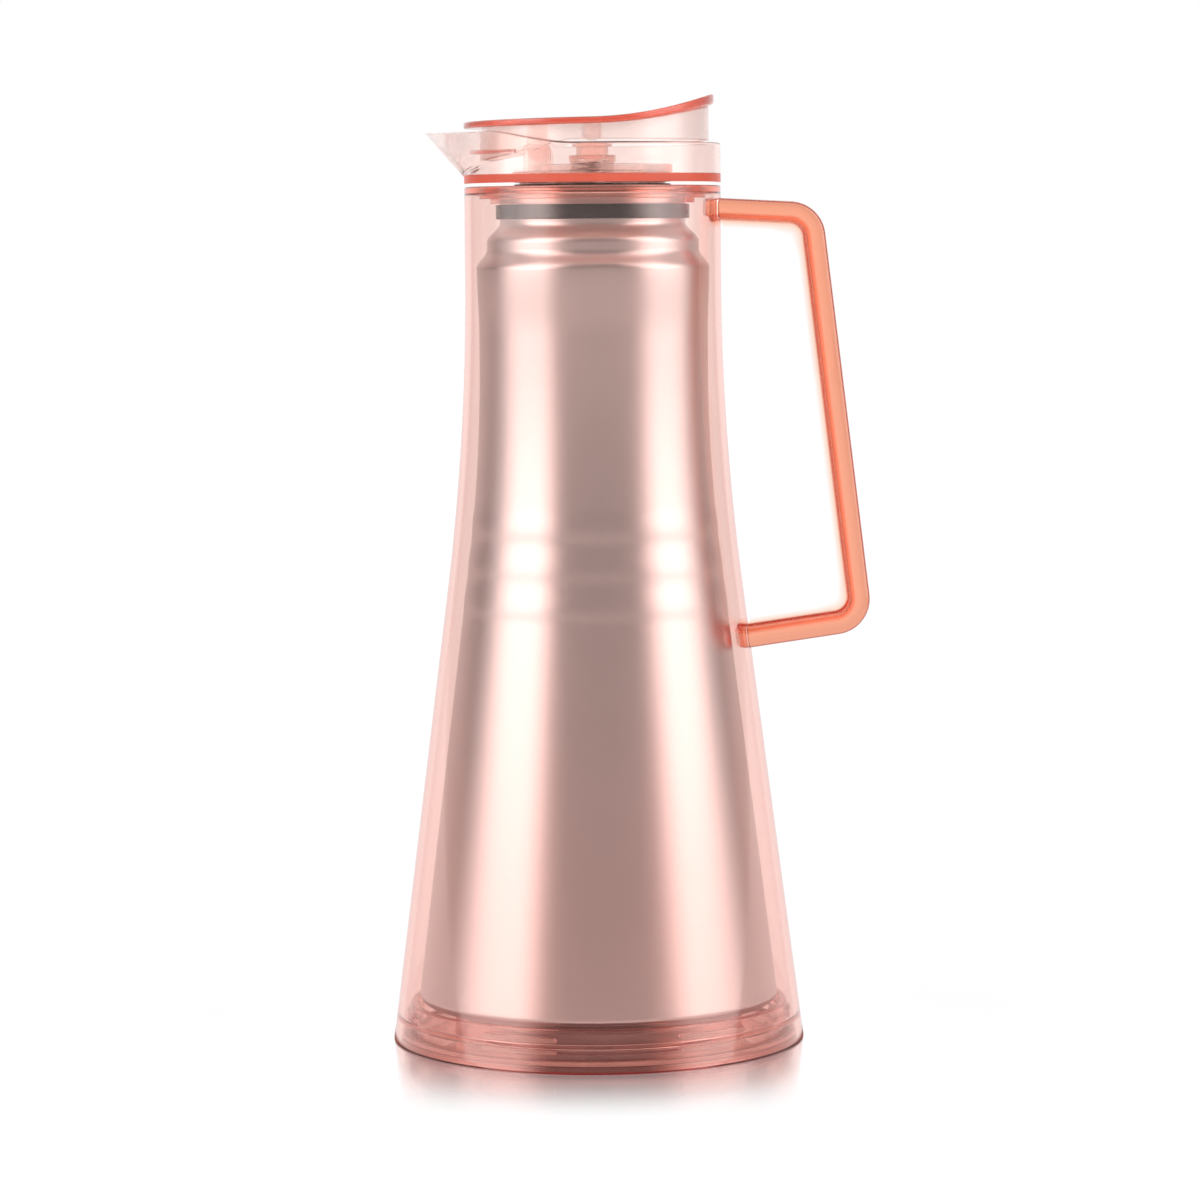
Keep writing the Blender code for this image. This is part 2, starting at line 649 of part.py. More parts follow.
def make_neck_ring(parts):
    top = SHELL_HEIGHT - RING_RECESS
    spigot = FLANGE_HOLE - GAP
    profile = [(spigot, top), (spigot, RING_FLANGE_TOP), (RING_FLANGE_RADIUS, RING_FLANGE_TOP)]
    profile += [(RING_FLANGE_RADIUS, RING_FLANGE_UNDER), (RING_LOWER_RADIUS, RING_FLANGE_UNDER)]
    profile += [(RING_LOWER_RADIUS, RING_UNDER), (RING_BORE, RING_UNDER), (RING_BORE, top)]
    return finish(turned("neck_ring", profile, parts), TINTED_DEEP)


def make_neck_gasket(parts):
    inside = NECK_RADIUS + GAP
    outside = inside + NECK_GASKET_WALL
    under = NECK_GASKET_TOP - NECK_GASKET_HEIGHT
    sleeve = [(outside, NECK_GASKET_TOP), (outside, under), (inside, under), (inside, NECK_GASKET_TOP)]
    return finish(turned("neck_gasket", sleeve, parts), DARK_RUBBER)


# Handle

def handle_section(grow):
    """A rounded box, |x/a|^p + |y/b|^p = 1, with x towards the bar's inner side and y across it."""
    half_depth = HANDLE_DEPTH / 2 + grow
    half_width = HANDLE_WIDTH / 2 + grow
    points = []
    for i in range(HANDLE_SIDES):
        angle = 2 * math.pi * (i + 0.5) / HANDLE_SIDES
        c, s = math.cos(angle), math.sin(angle)
        x = half_depth * math.copysign(abs(c) ** (2 / HANDLE_ROUNDNESS), c)
        y = half_width * math.copysign(abs(s) ** (2 / HANDLE_ROUNDNESS), s)
        points.append((x, y))
    return points


def wall_inset(radius):
    """How far a flat clip must stay inside a round wall of this radius."""
    return radius - math.sqrt(radius ** 2 - (CLIP_WIDTH / 2) ** 2)


def handle_ends():
    """Name, end point in x and z, lean and outer corner of the upper and the lower arm."""
    ends = []
    for name, height, arm in (("upper", HANDLE_TOP_HEIGHT, UPPER_ARM),
                              ("lower", HANDLE_FOOT_HEIGHT, LOWER_ARM)):
        wall = Vector((shell_radius(height), height))
        along = Vector(arm).normalized()
        inside = shell_inside(height)
        end_x = inside - wall_inset(inside)
        end = wall + along * (end_x - wall.x) / along.x
        ends.append((name, end, math.atan2(along.y, along.x), wall + Vector(arm)))
    return ends


def arm_place(end, lean):
    """Frame at an arm's end: its Z along the arm, its Y across the bar."""
    turn = Matrix.Rotation(-lean, 4, 'Y') @ Matrix.Rotation(math.pi / 2, 4, 'Y')
    return Matrix.Translation((end.x, 0, end.y)) @ turn


def handle_path():
    """Middle line of the bar in x and z, with an arc at each corner."""
    (_, top_end, _, top_corner), (_, low_end, _, low_corner) = handle_ends()
    route = [top_end, top_corner, low_corner, low_end]
    path = [route[0]]
    for before, corner, after in zip(route, route[1:], route[2:]):
        back = (before - corner).normalized()
        ahead = (after - corner).normalized()
        half = back.angle(ahead) / 2
        middle = corner + (back + ahead).normalized() * (HANDLE_BEND / math.sin(half))
        reach = HANDLE_BEND / math.tan(half)
        start = corner + back * reach - middle
        swing = math.pi - 2 * half
        for i in range(ARC_STEPS + 1):
            turn = Matrix.Rotation(-swing * i / ARC_STEPS, 2)
            path.append(middle + turn @ start)
    path.append(route[-1])
    return path


def swept(name, outline, path, group, tools):
    """A closed outline of (x, y) points carried along a path in x and z."""
    section = bpy.data.curves.new(name + " section", 'CURVE')
    section.dimensions = '2D'
    section.fill_mode = 'NONE'
    edge = section.splines.new('POLY')
    edge.points.add(len(outline) - 1)
    for point, (x, y) in zip(edge.points, outline):
        point.co = (x, y, 0, 1)
    edge.use_cyclic_u = True
    curve = bpy.data.curves.new(name, 'CURVE')
    curve.dimensions = '3D'
    curve.twist_mode = 'Z_UP'
    curve.bevel_mode = 'OBJECT'
    curve.bevel_object = as_tool(new_object(name + " section", section, tools))
    curve.use_fill_caps = True
    spline = curve.splines.new('POLY')
    spline.points.add(len(path) - 1)
    for point, (x, z) in zip(spline.points, path):
        point.co = (x, z, 0, 1)
    return meshed(name, curve, side_plane(0), group)


def fin_section():
    """A tapered fin in the middle of the bar's inner side."""
    sunk = HANDLE_DEPTH / 2 - FIN_SINK
    edge = HANDLE_DEPTH / 2 + FIN_DEPTH
    return [(sunk, -FIN_ROOT / 2), (edge, -FIN_EDGE / 2), (edge, FIN_EDGE / 2), (sunk, FIN_ROOT / 2)]


def make_handle(parts, tools):
    """Bar with a fin on its inner side that stands clear of the jacket."""
    path = handle_path()
    bar = swept("handle", handle_section(0), path, parts, tools)
    start = path[0] + (path[1] - path[0]).normalized() * fin_start(UPPER_ARM)
    end = path[-1] + (path[-2] - path[-1]).normalized() * fin_start(LOWER_ARM)
    fin = swept("handle fin", fin_section(), [start] + path[1:-1] + [end], tools, tools)
    combine(bar, as_tool(fin), 'UNION')
    return finish(bar, TINTED_DEEP)


def fin_start(arm):
    """Arm's end to the fin, whose end clears the jacket over its whole depth."""
    lean = math.atan2(arm[1], arm[0])
    straight = (SHELL_WALL + wall_inset(RIM_RADIUS - SHELL_WALL) + GAP) / math.cos(lean)
    return straight + (HANDLE_DEPTH / 2 + FIN_DEPTH) * abs(math.tan(lean))


def make_clips(parts):
    """Retainers behind the arm ends, square to the arms."""
    clips = []
    for (name, end, lean, _), thickness in zip(handle_ends(), (UPPER_CLIP, LOWER_CLIP)):
        shift = Matrix.Translation((0, 0, -GAP - thickness / 2))
        size = (CLIP_HEIGHT, CLIP_WIDTH, thickness)
        place = arm_place(end, lean) @ shift
        clip = block(f"{name}_handle_clip", size, place, parts, CLIP_CHAMFER)
        clips.append(finish(clip, TINTED_DEEP))
    return clips


# Lid

def smooth(share):
    share = min(1.0, max(0.0, share))
    return share * share * (3 - 2 * share)


def collar_section(angle):
    """Section of collar and floor at this angle from the spout, down the outer side first."""
    away = abs(math.remainder(angle, 2 * math.pi))
    pull = math.acos(RIM_RADIUS / SPOUT_REACH)
    rim_radius = RIM_RADIUS / math.cos(max(0.0, pull - away))
    rim = LID_UNDER + COLLAR_HEIGHT
    rim_height = rim + SPOUT_RISE * smooth((RISE_FROM - away) / (RISE_FROM - RISE_TO))
    root = LID_UNDER + SPOUT_ROOT
    crease = root + (rim - CREASE_DEPTH - root) * min(1.0, away / SPOUT_CREASE)
    inside = RIM_RADIUS - COLLAR_WALL
    hole = TUBE_RADIUS + GAP
    outer = [(rim_radius, rim_height), (RIM_RADIUS, crease), (RIM_RADIUS, LID_UNDER)]
    floor = [(hole, LID_UNDER), (hole, LID_TOP), (inside, LID_TOP)]
    inner = [(inside, max(crease, LID_TOP + GAP)), (rim_radius - COLLAR_WALL, rim_height)]
    return outer + floor + inner


def make_collar(parts, tools):
    """Lofts the sections round the axis, because the spout makes each one different."""
    solid = bmesh.new()
    rings = []
    for i in range(COLLAR_STEPS):
        angle = 2 * math.pi * i / COLLAR_STEPS
        c, s = -math.cos(angle), -math.sin(angle)
        rings.append([solid.verts.new((r * c, r * s, z)) for r, z in collar_section(angle)])
    for ring, following in zip(rings, rings[1:] + rings[:1]):
        for j in range(len(ring)):
            k = (j + 1) % len(ring)
            solid.faces.new((ring[j], ring[k], following[k], following[j]))
    bmesh.ops.recalc_face_normals(solid, faces=solid.faces)
    mesh = bpy.data.meshes.new("lid_collar")
    solid.to_mesh(mesh)
    solid.free()
    collar = new_object("lid_collar", mesh, parts)
    for side in (-1, 1):
        combine(collar, as_tool(make_post(side, tools)), 'UNION')
    reach = post_inner() + POST_THICKNESS + GAP
    hole = pin_rod("post holes", PIN_RADIUS + GAP, -reach, reach, tools)
    combine(collar, as_tool(hole), 'DIFFERENCE')
    return finish(collar, TINTED_CLEAR)


def post_inner():
    return EAR_OUTER + GAP


def make_post(side, tools):
    """Upright that holds a hinge pin, with a rounded top."""
    half = POST_WIDTH / 2
    round_top = half / 2
    top = PIVOT_Z + POST_TOP - round_top
    foot = LID_TOP - LID_FLOOR / 2
    outline = [(PIVOT_X - half, foot), (PIVOT_X + half, foot)]
    outline += arc((PIVOT_X + half - round_top, top), round_top, 0, math.pi / 2)
    outline += arc((PIVOT_X - half + round_top, top), round_top, math.pi / 2, math.pi)
    middle = side * (post_inner() + POST_THICKNESS / 2)
    return plate(f"post {side}", outline, POST_THICKNESS, side_plane(middle), tools)


def pin_rod(name, radius, start, end, group):
    """A round rod on the hinge axis between two places along Y."""
    solid = bmesh.new()
    bmesh.ops.create_cone(solid, cap_ends=True, segments=SMALL_STEPS, radius1=radius,
                          radius2=radius, depth=end - start)
    middle = Matrix.Translation((PIVOT_X, (start + end) / 2, PIVOT_Z))
    bmesh.ops.transform(solid, matrix=middle @ Matrix.Rotation(math.pi / 2, 4, 'X'), verts=solid.verts)
    mesh = bpy.data.meshes.new(name)
    solid.to_mesh(mesh)
    solid.free()
    return new_object(name, mesh, group)


def make_pins(parts):
    near = EAR_OUTER - EAR_THICKNESS
    far = post_inner() + POST_THICKNESS
    right = pin_rod("hinge_pin_far", PIN_RADIUS, near, far, parts)
    left = pin_rod("hinge_pin_near", PIN_RADIUS, -far, -near, parts)
    return [finish(left, TINTED_DEEP), finish(right, TINTED_DEEP)]


def make_housing(parts, tools):
    """Low ring wall on the floor, spigot through it, and the guide tower on ribs."""
    inside = TUBE_RADIUS - TUBE_WALL
    seat = LID_TOP + GAP
    top = LID_TOP + RING_WALL_HEIGHT
    shelf = seat + TUBE_WALL / 2
    low = LID_UNDER - SPIGOT_DEPTH
    profile = [(RING_WALL_RADIUS, top), (RING_WALL_RADIUS, seat), (TUBE_RADIUS, seat)]
    profile += [(TUBE_RADIUS, low), (inside, low), (inside, shelf)]
    profile += [(RING_WALL_RADIUS - RING_WALL, shelf), (RING_WALL_RADIUS - RING_WALL, top)]
    housing = turned("valve_housing", profile, parts)
    outside = TOWER_BORE + TOWER_WALL
    lip = TOWER_RIM - TOWER_LIP_HEIGHT
    hole = STEM_RADIUS + GAP
    tower = [(outside + TOWER_LIP, TOWER_RIM), (outside + TOWER_LIP, lip), (outside, lip - TOWER_LIP)]
    tower += [(outside, TOWER_UNDER), (hole, TOWER_UNDER), (hole, SPRING_SEAT)]
    tower += [(TOWER_BORE, SPRING_SEAT), (TOWER_BORE, TOWER_RIM)]
    combine(housing, as_tool(turned("tower", tower, tools, SMALL_STEPS)), 'UNION')
    reach_in = TOWER_BORE + TOWER_WALL / 2
    reach_out = TUBE_RADIUS - TUBE_WALL / 2
    for i in range(RIB_COUNT):
        turn = Matrix.Rotation(2 * math.pi * i / RIB_COUNT, 4, 'Z')
        middle = ((reach_in + reach_out) / 2, 0, TOWER_UNDER + RIB_HEIGHT / 2)
        size = (reach_out - reach_in, RIB_THICKNESS, RIB_HEIGHT)
        rib = block(f"rib {i}", size, turn @ Matrix.Translation(middle), tools)
        combine(housing, as_tool(rib), 'UNION')
    back = -RING_WALL_RADIUS - RING_WALL
    size = (POUR_CUT_X - back, 2 * POUR_CUT_HALF, 2 * (top - shelf))
    cut = block("pour cut", size, Matrix.Translation(((back + POUR_CUT_X) / 2, 0, top)), tools)
    combine(housing, as_tool(cut), 'DIFFERENCE')
    return finish(housing, TINTED_DEEP)


def make_stopper(parts):
    """Black tube under the lid, stepped over the spigot, with the gasket groove and the valve seat."""
    wide = TUBE_RADIUS + GAP
    outside = wide + STOPPER_WALL
    narrow = TUBE_RADIUS - TUBE_WALL
    top = LID_UNDER - GAP
    step = LID_UNDER - SPIGOT_DEPTH - GAP
    groove = LID_UNDER - GROOVE_DROP
    groove_low = groove - GROOVE_HEIGHT
    floor = outside - GROOVE_DEPTH
    profile = [(outside, top), (outside, groove), (floor, groove), (floor, groove_low)]
    profile += [(outside, groove_low), (outside - STOPPER_TAPER, SEAT_UNDER), (SEAT_HOLE, SEAT_UNDER)]
    profile += [(SEAT_HOLE, SEAT_UNDER + SEAT_FLOOR), (narrow, SEAT_UNDER + SEAT_FLOOR)]
    profile += [(narrow, step), (wide, step), (wide, top)]
    return finish(turned("stopper", profile, parts), BLACK_PLASTIC)


def make_stopper_gasket(parts):
    inside = TUBE_RADIUS + GAP + STOPPER_WALL - GROOVE_DEPTH + GAP
    outside = LINER_BORE - GAP
    high = LID_UNDER - GROOVE_DROP - GAP
    low = high - GROOVE_HEIGHT + 2 * GAP
    middle = (high + low) / 2
    ring = [(inside + GROOVE_DEPTH, high), (outside, middle), (inside + GROOVE_DEPTH, low)]
    ring += [(inside, low), (inside, high)]
    return finish(turned("stopper_gasket", ring, parts), DARK_RUBBER)


# Valve

def make_stem(parts):
    profile = [(0, STEM_TOP), (STEM_CAP - STEM_CAP_EDGE, STEM_TOP), (STEM_CAP, STEM_TOP - STEM_CAP_EDGE)]
    profile += [(STEM_CAP, STEM_CAP_UNDER), (STEM_HEAD, STEM_CAP_UNDER), (STEM_HEAD, STEM_SHOULDER)]
    profile += [(STEM_RADIUS, STEM_SHOULDER), (STEM_RADIUS, HUB_TOP + GAP), (STEM_TAIL, HUB_TOP + GAP)]
    profile += [(STEM_TAIL, DISC_UNDER), (0, DISC_UNDER)]
    return finish(turned("valve_stem", profile, parts, SMALL_STEPS, closed=False), TINTED_DEEP)


def make_disc(parts):
    bore = STEM_TAIL + GAP
    profile = [(DISC_HUB, HUB_TOP), (DISC_HUB, DISC_TOP), (DISC_RADIUS, DISC_TOP)]
    profile += [(DISC_RADIUS, DISC_TOP - DISC_THICKNESS / 2), (DISC_HUB, DISC_UNDER)]
    profile += [(bore, DISC_UNDER), (bore, HUB_TOP)]
    return finish(turned("valve_disc", profile, parts, SMALL_STEPS), BLACK_PLASTIC)


def make_seal(parts):
    inside = DISC_HUB + GAP
    low = DISC_TOP + GAP
    ring = [(DISC_RADIUS, SEAL_TOP), (DISC_RADIUS, low), (inside, low), (inside, SEAL_TOP)]
    return finish(turned("valve_seal", ring, parts, SMALL_STEPS), SOFT_SILICONE)


def spring_path():
    """Coil between straight ends one wire thick that stand square on their seats."""
    low = SPRING_SEAT + GAP
    high = STEM_SHOULDER - GAP
    run = 2 * WIRE_RADIUS
    count = SPRING_TURNS * POINTS_PER_TURN
    coil = []
    for i in range(count + 1):
        angle = 2 * math.pi * i / POINTS_PER_TURN
        z = low + run + (high - low - 2 * run) * i / count
        coil.append(Vector((SPRING_RADIUS * math.cos(angle), SPRING_RADIUS * math.sin(angle), z)))
    first = coil[0].copy()
    first.z = low
    last = coil[-1].copy()
    last.z = high
    return [first] + coil + [last]


def least_gap(path):
    """Least distance between points over half a turn apart, less the wire."""
    apart = POINTS_PER_TURN // 2
    pairs = ((a, b) for i, a in enumerate(path) for b in path[i + apart:])
    return min((a - b).length for a, b in pairs) - 2 * WIRE_RADIUS


def make_spring(parts):
    path = spring_path()
    print(f"valve_spring: least gap between turns {least_gap(path) * 1000:.2f} mm")
    curve = bpy.data.curves.new("valve_spring", 'CURVE')
    curve.dimensions = '3D'
    curve.bevel_depth = WIRE_RADIUS
    curve.bevel_resolution = 1
    curve.use_fill_caps = True
    spline = curve.splines.new('POLY')
    spline.points.add(len(path) - 1)
    for point, place in zip(spline.points, path):
        point.co = (*place, 1)
    return finish(meshed("valve_spring", curve, Matrix(), parts), BRIGHT_STEEL)


# Lever

def lever_top(x):
    """Height of the plate's upper face: a gentle slope, then an arc behind the axis."""
    front = LEVER_SHIFT - LEVER_RADIUS
    sweep = SWEEP_RADIUS - math.sqrt(SWEEP_RADIUS ** 2 - max(0.0, x) ** 2)
    return LID_UNDER + LEVER_FRONT_TOP + LEVER_SLOPE * (x - front) + sweep


def lever_stations():
    front = LEVER_SHIFT - LEVER_RADIUS - SHELL_WALL
    back = LEVER_SHIFT + LEVER_RADIUS + SHELL_WALL
    steps = 2 * ARC_STEPS
    return [front, 0.0] + [back * (i + 1) / steps for i in range(steps)]


def lever_under(x):
    share = max(0.0, x) / (LEVER_SHIFT + LEVER_RADIUS)
    return lever_top(x) - PLATE_THICKNESS - TIP_THICKENING * share ** 2


def disc_tool(name, radius, shift, low, high, group):
    """An upright cylinder between two heights."""
    solid = bmesh.new()
    bmesh.ops.create_cone(solid, cap_ends=True, segments=2 * TURN_STEPS, radius1=radius,
                          radius2=radius, depth=high - low)
    bmesh.ops.translate(solid, vec=(shift, 0, (high + low) / 2), verts=solid.verts)
    mesh = bpy.data.meshes.new(name)
    solid.to_mesh(mesh)
    solid.free()
    return new_object(name, mesh, group)


def make_lever(parts, tools):
    """Wave plate with its skirt, front shutter, presser and hinge ears."""
    stations = lever_stations()
    wide = 2 * RIM_RADIUS + SHELL_WALL
    low = LID_UNDER
    high = lever_top(stations[-1]) + PLATE_THICKNESS
    outline = [(x, lever_top(x)) for x in stations]
    outline += [(x, lever_under(x)) for x in reversed(stations)]
    lever = plate("lever", outline, wide, side_plane(0), parts)
    round_plan = disc_tool("plate plan", LEVER_RADIUS, LEVER_SHIFT, low, high, tools)
    combine(lever, as_tool(round_plan), 'INTERSECT')

    tube = [(SKIRT_RADIUS, high), (SKIRT_RADIUS, low), (SKIRT_RADIUS - SKIRT_WALL, low)]
    tube += [(SKIRT_RADIUS - SKIRT_WALL, high)]
    skirt = turned("skirt", tube, tools)
    side = [(x, (lever_top(x) + lever_under(x)) / 2) for x in stations]
    side += [(stations[-1], LID_UNDER + SKIRT_BACK), (SKIRT_BEND_BACK, LID_UNDER + SKIRT_BACK)]
    side += [(SKIRT_BEND_FRONT, LID_UNDER + SKIRT_FRONT), (stations[0], LID_UNDER + SKIRT_FRONT)]
    combine(skirt, as_tool(plate("skirt side", side, wide, side_plane(0), tools)), 'INTERSECT')
    combine(lever, as_tool(skirt), 'UNION')

    top = LID_UNDER + SHUTTER_TOP
    shutter = disc_tool("shutter", SHUTTER_RADIUS, 0, top - SHUTTER_THICKNESS, top, tools)
    behind = Matrix.Translation((SHUTTER_BACK + wide / 2, 0, top))
    rear = block("shutter back", (wide, wide, LID_FLOOR * 2), behind, tools)
    combine(shutter, as_tool(rear), 'DIFFERENCE')
    combine(lever, as_tool(shutter), 'UNION')

    tip = STEM_TOP + PRESSER_GAP
    root = (lever_top(0) + lever_under(0)) / 2
    rod = [(0, root), (PRESSER_RADIUS, root), (PRESSER_RADIUS, tip + PRESSER_TAPER), (PRESSER_TIP, tip)]
    presser = turned("presser", rod + [(0, tip)], tools, SMALL_STEPS, closed=False)
    combine(lever, as_tool(presser), 'UNION')

    for side_sign in (-1, 1):
        combine(lever, as_tool(make_ear(side_sign, tools)), 'UNION')
    reach = EAR_OUTER + GAP
    hole = pin_rod("ear holes", PIN_RADIUS + RUNNING_GAP, -reach, reach, tools)
    combine(lever, as_tool(hole), 'DIFFERENCE')
    return finish(lever, TINTED_DEEP)


def make_ear(side, tools):
    """Arm under the plate with a round end on the hinge axis."""
    root = (lever_top(PIVOT_X) + lever_under(PIVOT_X)) / 2
    outline = [(PIVOT_X + EAR_RADIUS, root), (PIVOT_X - EAR_RADIUS, root)]
    outline += arc((PIVOT_X, PIVOT_Z), EAR_RADIUS, -math.pi, 0, 2 * ARC_STEPS)
    middle = side * (EAR_OUTER - EAR_THICKNESS / 2)
    return plate(f"ear {side}", outline, EAR_THICKNESS, side_plane(middle), tools)


def main():
    clear_scene()
    parts = new_collection("thermal_carafe")
    tools = new_collection("cutters")

    make_shell(parts, tools)
    make_base_cap(parts, tools)
    make_base_gasket(parts)
    make_liner_pad(parts)
    make_liner_outer(parts)
    make_liner_inner(parts)
    make_liner_bottom(parts)
    make_vacuum_plug(parts)
    make_getter(parts)
    make_neck_ring(parts)
    make_neck_gasket(parts)
    make_handle(parts, tools)
    make_clips(parts)

    gasket = make_stopper_gasket(parts)
    lid = [make_collar(parts, tools), make_housing(parts, tools), make_stopper(parts)]
    lid += make_pins(parts)
    valve = [make_stem(parts), make_disc(parts), make_seal(parts)]
    spring = make_spring(parts)
    lever = make_lever(parts, tools)

    hang_on([gasket] + lid, "lid_axis", (0, 0, LID_UNDER), parts)
    hang_on(valve + [spring], "valve_axis", (0, 0, SPRING_SEAT), parts)
    hang_on([lever], "lever_axis", (PIVOT_X, 0, PIVOT_Z), parts)
    bpy.context.view_layer.update()


main()
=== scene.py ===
"""Thermal carafe: the looks of the part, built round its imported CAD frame.

Metres, +Z up. The spout points to -X and the handle to +X, as in the frame.
"""

import math

import bmesh
import bpy
import numpy as np
from bpy.props import FloatProperty, FloatVectorProperty, IntProperty, PointerProperty
from mathutils import Euler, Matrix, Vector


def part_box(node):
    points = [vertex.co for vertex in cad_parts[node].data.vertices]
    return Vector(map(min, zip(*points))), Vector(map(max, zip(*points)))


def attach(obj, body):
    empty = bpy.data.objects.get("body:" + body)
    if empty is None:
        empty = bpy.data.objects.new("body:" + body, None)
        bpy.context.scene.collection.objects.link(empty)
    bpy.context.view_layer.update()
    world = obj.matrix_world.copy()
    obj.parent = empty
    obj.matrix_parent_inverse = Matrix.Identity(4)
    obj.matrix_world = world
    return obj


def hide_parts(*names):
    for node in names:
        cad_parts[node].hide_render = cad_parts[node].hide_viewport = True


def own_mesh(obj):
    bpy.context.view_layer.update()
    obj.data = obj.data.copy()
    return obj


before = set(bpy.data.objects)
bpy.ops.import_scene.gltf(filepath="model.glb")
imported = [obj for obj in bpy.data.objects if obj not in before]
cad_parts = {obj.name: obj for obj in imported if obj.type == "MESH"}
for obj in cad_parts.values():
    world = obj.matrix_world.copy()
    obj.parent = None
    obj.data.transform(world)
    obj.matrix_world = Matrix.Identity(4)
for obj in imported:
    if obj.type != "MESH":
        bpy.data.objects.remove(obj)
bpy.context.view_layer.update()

bl_info = {
    "name": "Thermal carafe",
    "version": (1, 0, 0),
    "blender": (4, 5, 0),
    "location": "View3D > Sidebar > Carafe",
    "description": "Builds the jacket, liner, handle, lid and valve of a thermal carafe",
    "category": "Object",
}

# Clearances: between pieces, and round the handle's arms in the jacket
GAP = 0.0003
SNUG = 0.00006

# Heights and places from the frame
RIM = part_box("outer_shell")[1].z
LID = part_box("lid_collar")[0].z
LID_FLOOR = 0.0024
LID_TOP = LID + LID_FLOOR
STEM_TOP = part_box("valve_stem")[1].z
BOTTLE_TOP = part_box("liner_inner_wall")[1].z
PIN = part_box("hinge_pin_near")
PIVOT = ((PIN[0].x + PIN[1].x) / 2, (PIN[0].z + PIN[1].z) / 2)

# Colours without a tint
CLEAR = (1.0, 1.0, 1.0)
WHITE = (*CLEAR, 1.0)


# Properties

def length(name, default, description):
    """A size in metres."""
    return FloatProperty(name=name, description=description, default=default, unit='LENGTH', precision=5)


def angle(name, degrees, description):
    """An angle, given in degrees."""
    return FloatProperty(name=name, description=description, default=math.radians(degrees), subtype='ANGLE')


def share(name, default, description):
    """A plain number that is not negative."""
    return FloatProperty(name=name, description=description, default=default, min=0.0)


def colour(name, default, description):
    """A linear colour."""
    return FloatVectorProperty(name=name, description=description, default=default, size=3, subtype='COLOR',
                               min=0.0, max=1.0)


def count(name, default, description):
    """A whole number."""
    return IntProperty(name=name, description=description, default=default, min=1)


class CarafeBody(bpy.types.PropertyGroup):
    """Jacket, base and liner."""
    rim_radius: length("Rim radius", 0.0392, "Jacket's radius along its upper cylinder")
    base_radius: length("Base radius", 0.06359, "Jacket's cone carried down to the table")
    cone_meet: length("Cone meets cylinder", 0.1883, "Height where jacket cone and cylinder would meet")
    flare: length("Flare radius", 0.75, "Arc between the jacket's cone and its cylinder")
    wall: length("Jacket wall", 0.0021, "Thickness of the jacket")
    flange: length("Top flange", 0.0022, "Thickness of the jacket's inward flange")
    flange_hole: length("Flange hole", 0.0335, "Radius of the hole in that flange")
    lift: length("Jacket lift", 0.0001, "Jacket's lower edge above the table")
    cap_top: length("Cap edge", 0.0122, "Upper edge of the base cap")
    cap_wall: length("Cap wall", 0.0022, "Thickness of the base cap's wall")
    cap_floor: length("Cap floor", 0.0026, "Thickness of the base cap's floor")
    cap_room: length("Thread room", 0.0038, "Jacket's outside to the base cap's wall")
    lug_depth: length("Lug depth", 0.0011, "How far a thread lug stands out")
    lug_half: length("Lug half height", 0.0008, "Half the thickness of a thread lug")
    lug_low: length("Lower lug row", 0.0056, "Height of the lower row of lugs")
    lug_pitch: length("Lug pitch", 0.0036, "Upper row above the lower one")
    lug_count: count("Lugs", 6, "Lugs in a row")
    lug_span: angle("Lug span", 22, "Angle that one lug covers")
    lug_turn: angle("Lug turn", 5.7, "Turn of the rows about the axis")
    liner_base: length("Liner base radius", 0.0571, "Liner's cone carried down to the table")
    liner_waist: length("Liner waist", 0.0350, "Liner's radius along its upper cylinder")
    liner_meet: length("Liner meet", 0.1786, "Height where liner cone and cylinder would meet")
    liner_flare: length("Liner flare", 0.52, "Arc between the liner's cone and its cylinder")
    liner_foot: length("Liner foot", 0.0118, "Height of the liner's underside")
    liner_wall: length("Liner wall", 0.0006, "Thickness of the steel")
    foot_round: length("Foot round", 0.0028, "Radius of the liner's lower corner")
    bead_top: length("Highest bead", 0.1600, "Height of the highest bead's crest")
    bead_pitch: length("Bead pitch", 0.0117, "Crest to crest")
    bead_rise: length("Bead rise", 0.0002, "How far a bead stands out")
    neck: length("Neck radius", 0.0284, "Liner's neck")
    step: length("Step radius", 0.0324, "Band between the shoulder's two bends")
    shoulder: length("Shoulder radius", 0.0356, "Lower edge of the shoulder")
    vacuum: length("Vacuum space", 0.0034, "Between the liner's two walls")
    bottom_rise: length("Bottom rise", 0.0015, "Middle of the liner's bottom above its foot")
    sleeve: length("Neck sleeve", 0.0044, "Height of the dark gasket round the neck")


class CarafeHandle(bpy.types.PropertyGroup):
    """Bar handle."""
    width: length("Width", 0.0140, "Bar across the carafe")
    outer: length("Outer face", 0.00304, "From the bar's middle line")
    depth: length("Depth", 0.0073, "Outer face to the root of the fin")
    crease: length("Crease", 0.0057, "Outer face to where the sides start to slope in")
    # Painted shade: the band in front of the crease carries a painted deep orange
    band: length("Band", 0.0017, "Deep-coloured stretch of the sides in front of the crease")
    fin: length("Fin", 0.0015, "How far the fin stands out from the slopes")
    fin_root: length("Fin root", 0.0046, "Thickness of the fin at the slopes")
    fin_tip: length("Fin tip", 0.0003, "Thickness of the fin at its edge")
    gusset: length("Gusset", 0.0013, "Added depth of the fin in the bar's corners")
    fade: length("Fin fade", 0.0006, "Length over which the fin rises")
    start: length("Fin start", 0.0028, "Arm's end to the fin")
    bend: length("Bend", 0.0080, "Radius of the bar's middle line at its corners")
    top: length("Upper arm", RIM - 0.0069, "Height where the upper arm meets the jacket")
    foot: length("Lower arm", RIM - 0.1385, "Height where the lower arm meets the jacket")
    upper_out: length("Upper reach", 0.0279, "Jacket to the bar's upper corner")
    upper_up: length("Upper rise", -0.0015, "That corner above the arm's foot")
    lower_out: length("Lower reach", 0.03458, "Jacket to the bar's lower corner")
    lower_up: length("Lower rise", 0.0050, "That corner above the arm's foot")
    clip_height: length("Clip height", 0.0054, "Retainers inside the jacket, along the carafe")
    clip_width: length("Clip width", 0.0110, "Retainers inside the jacket, across the carafe")


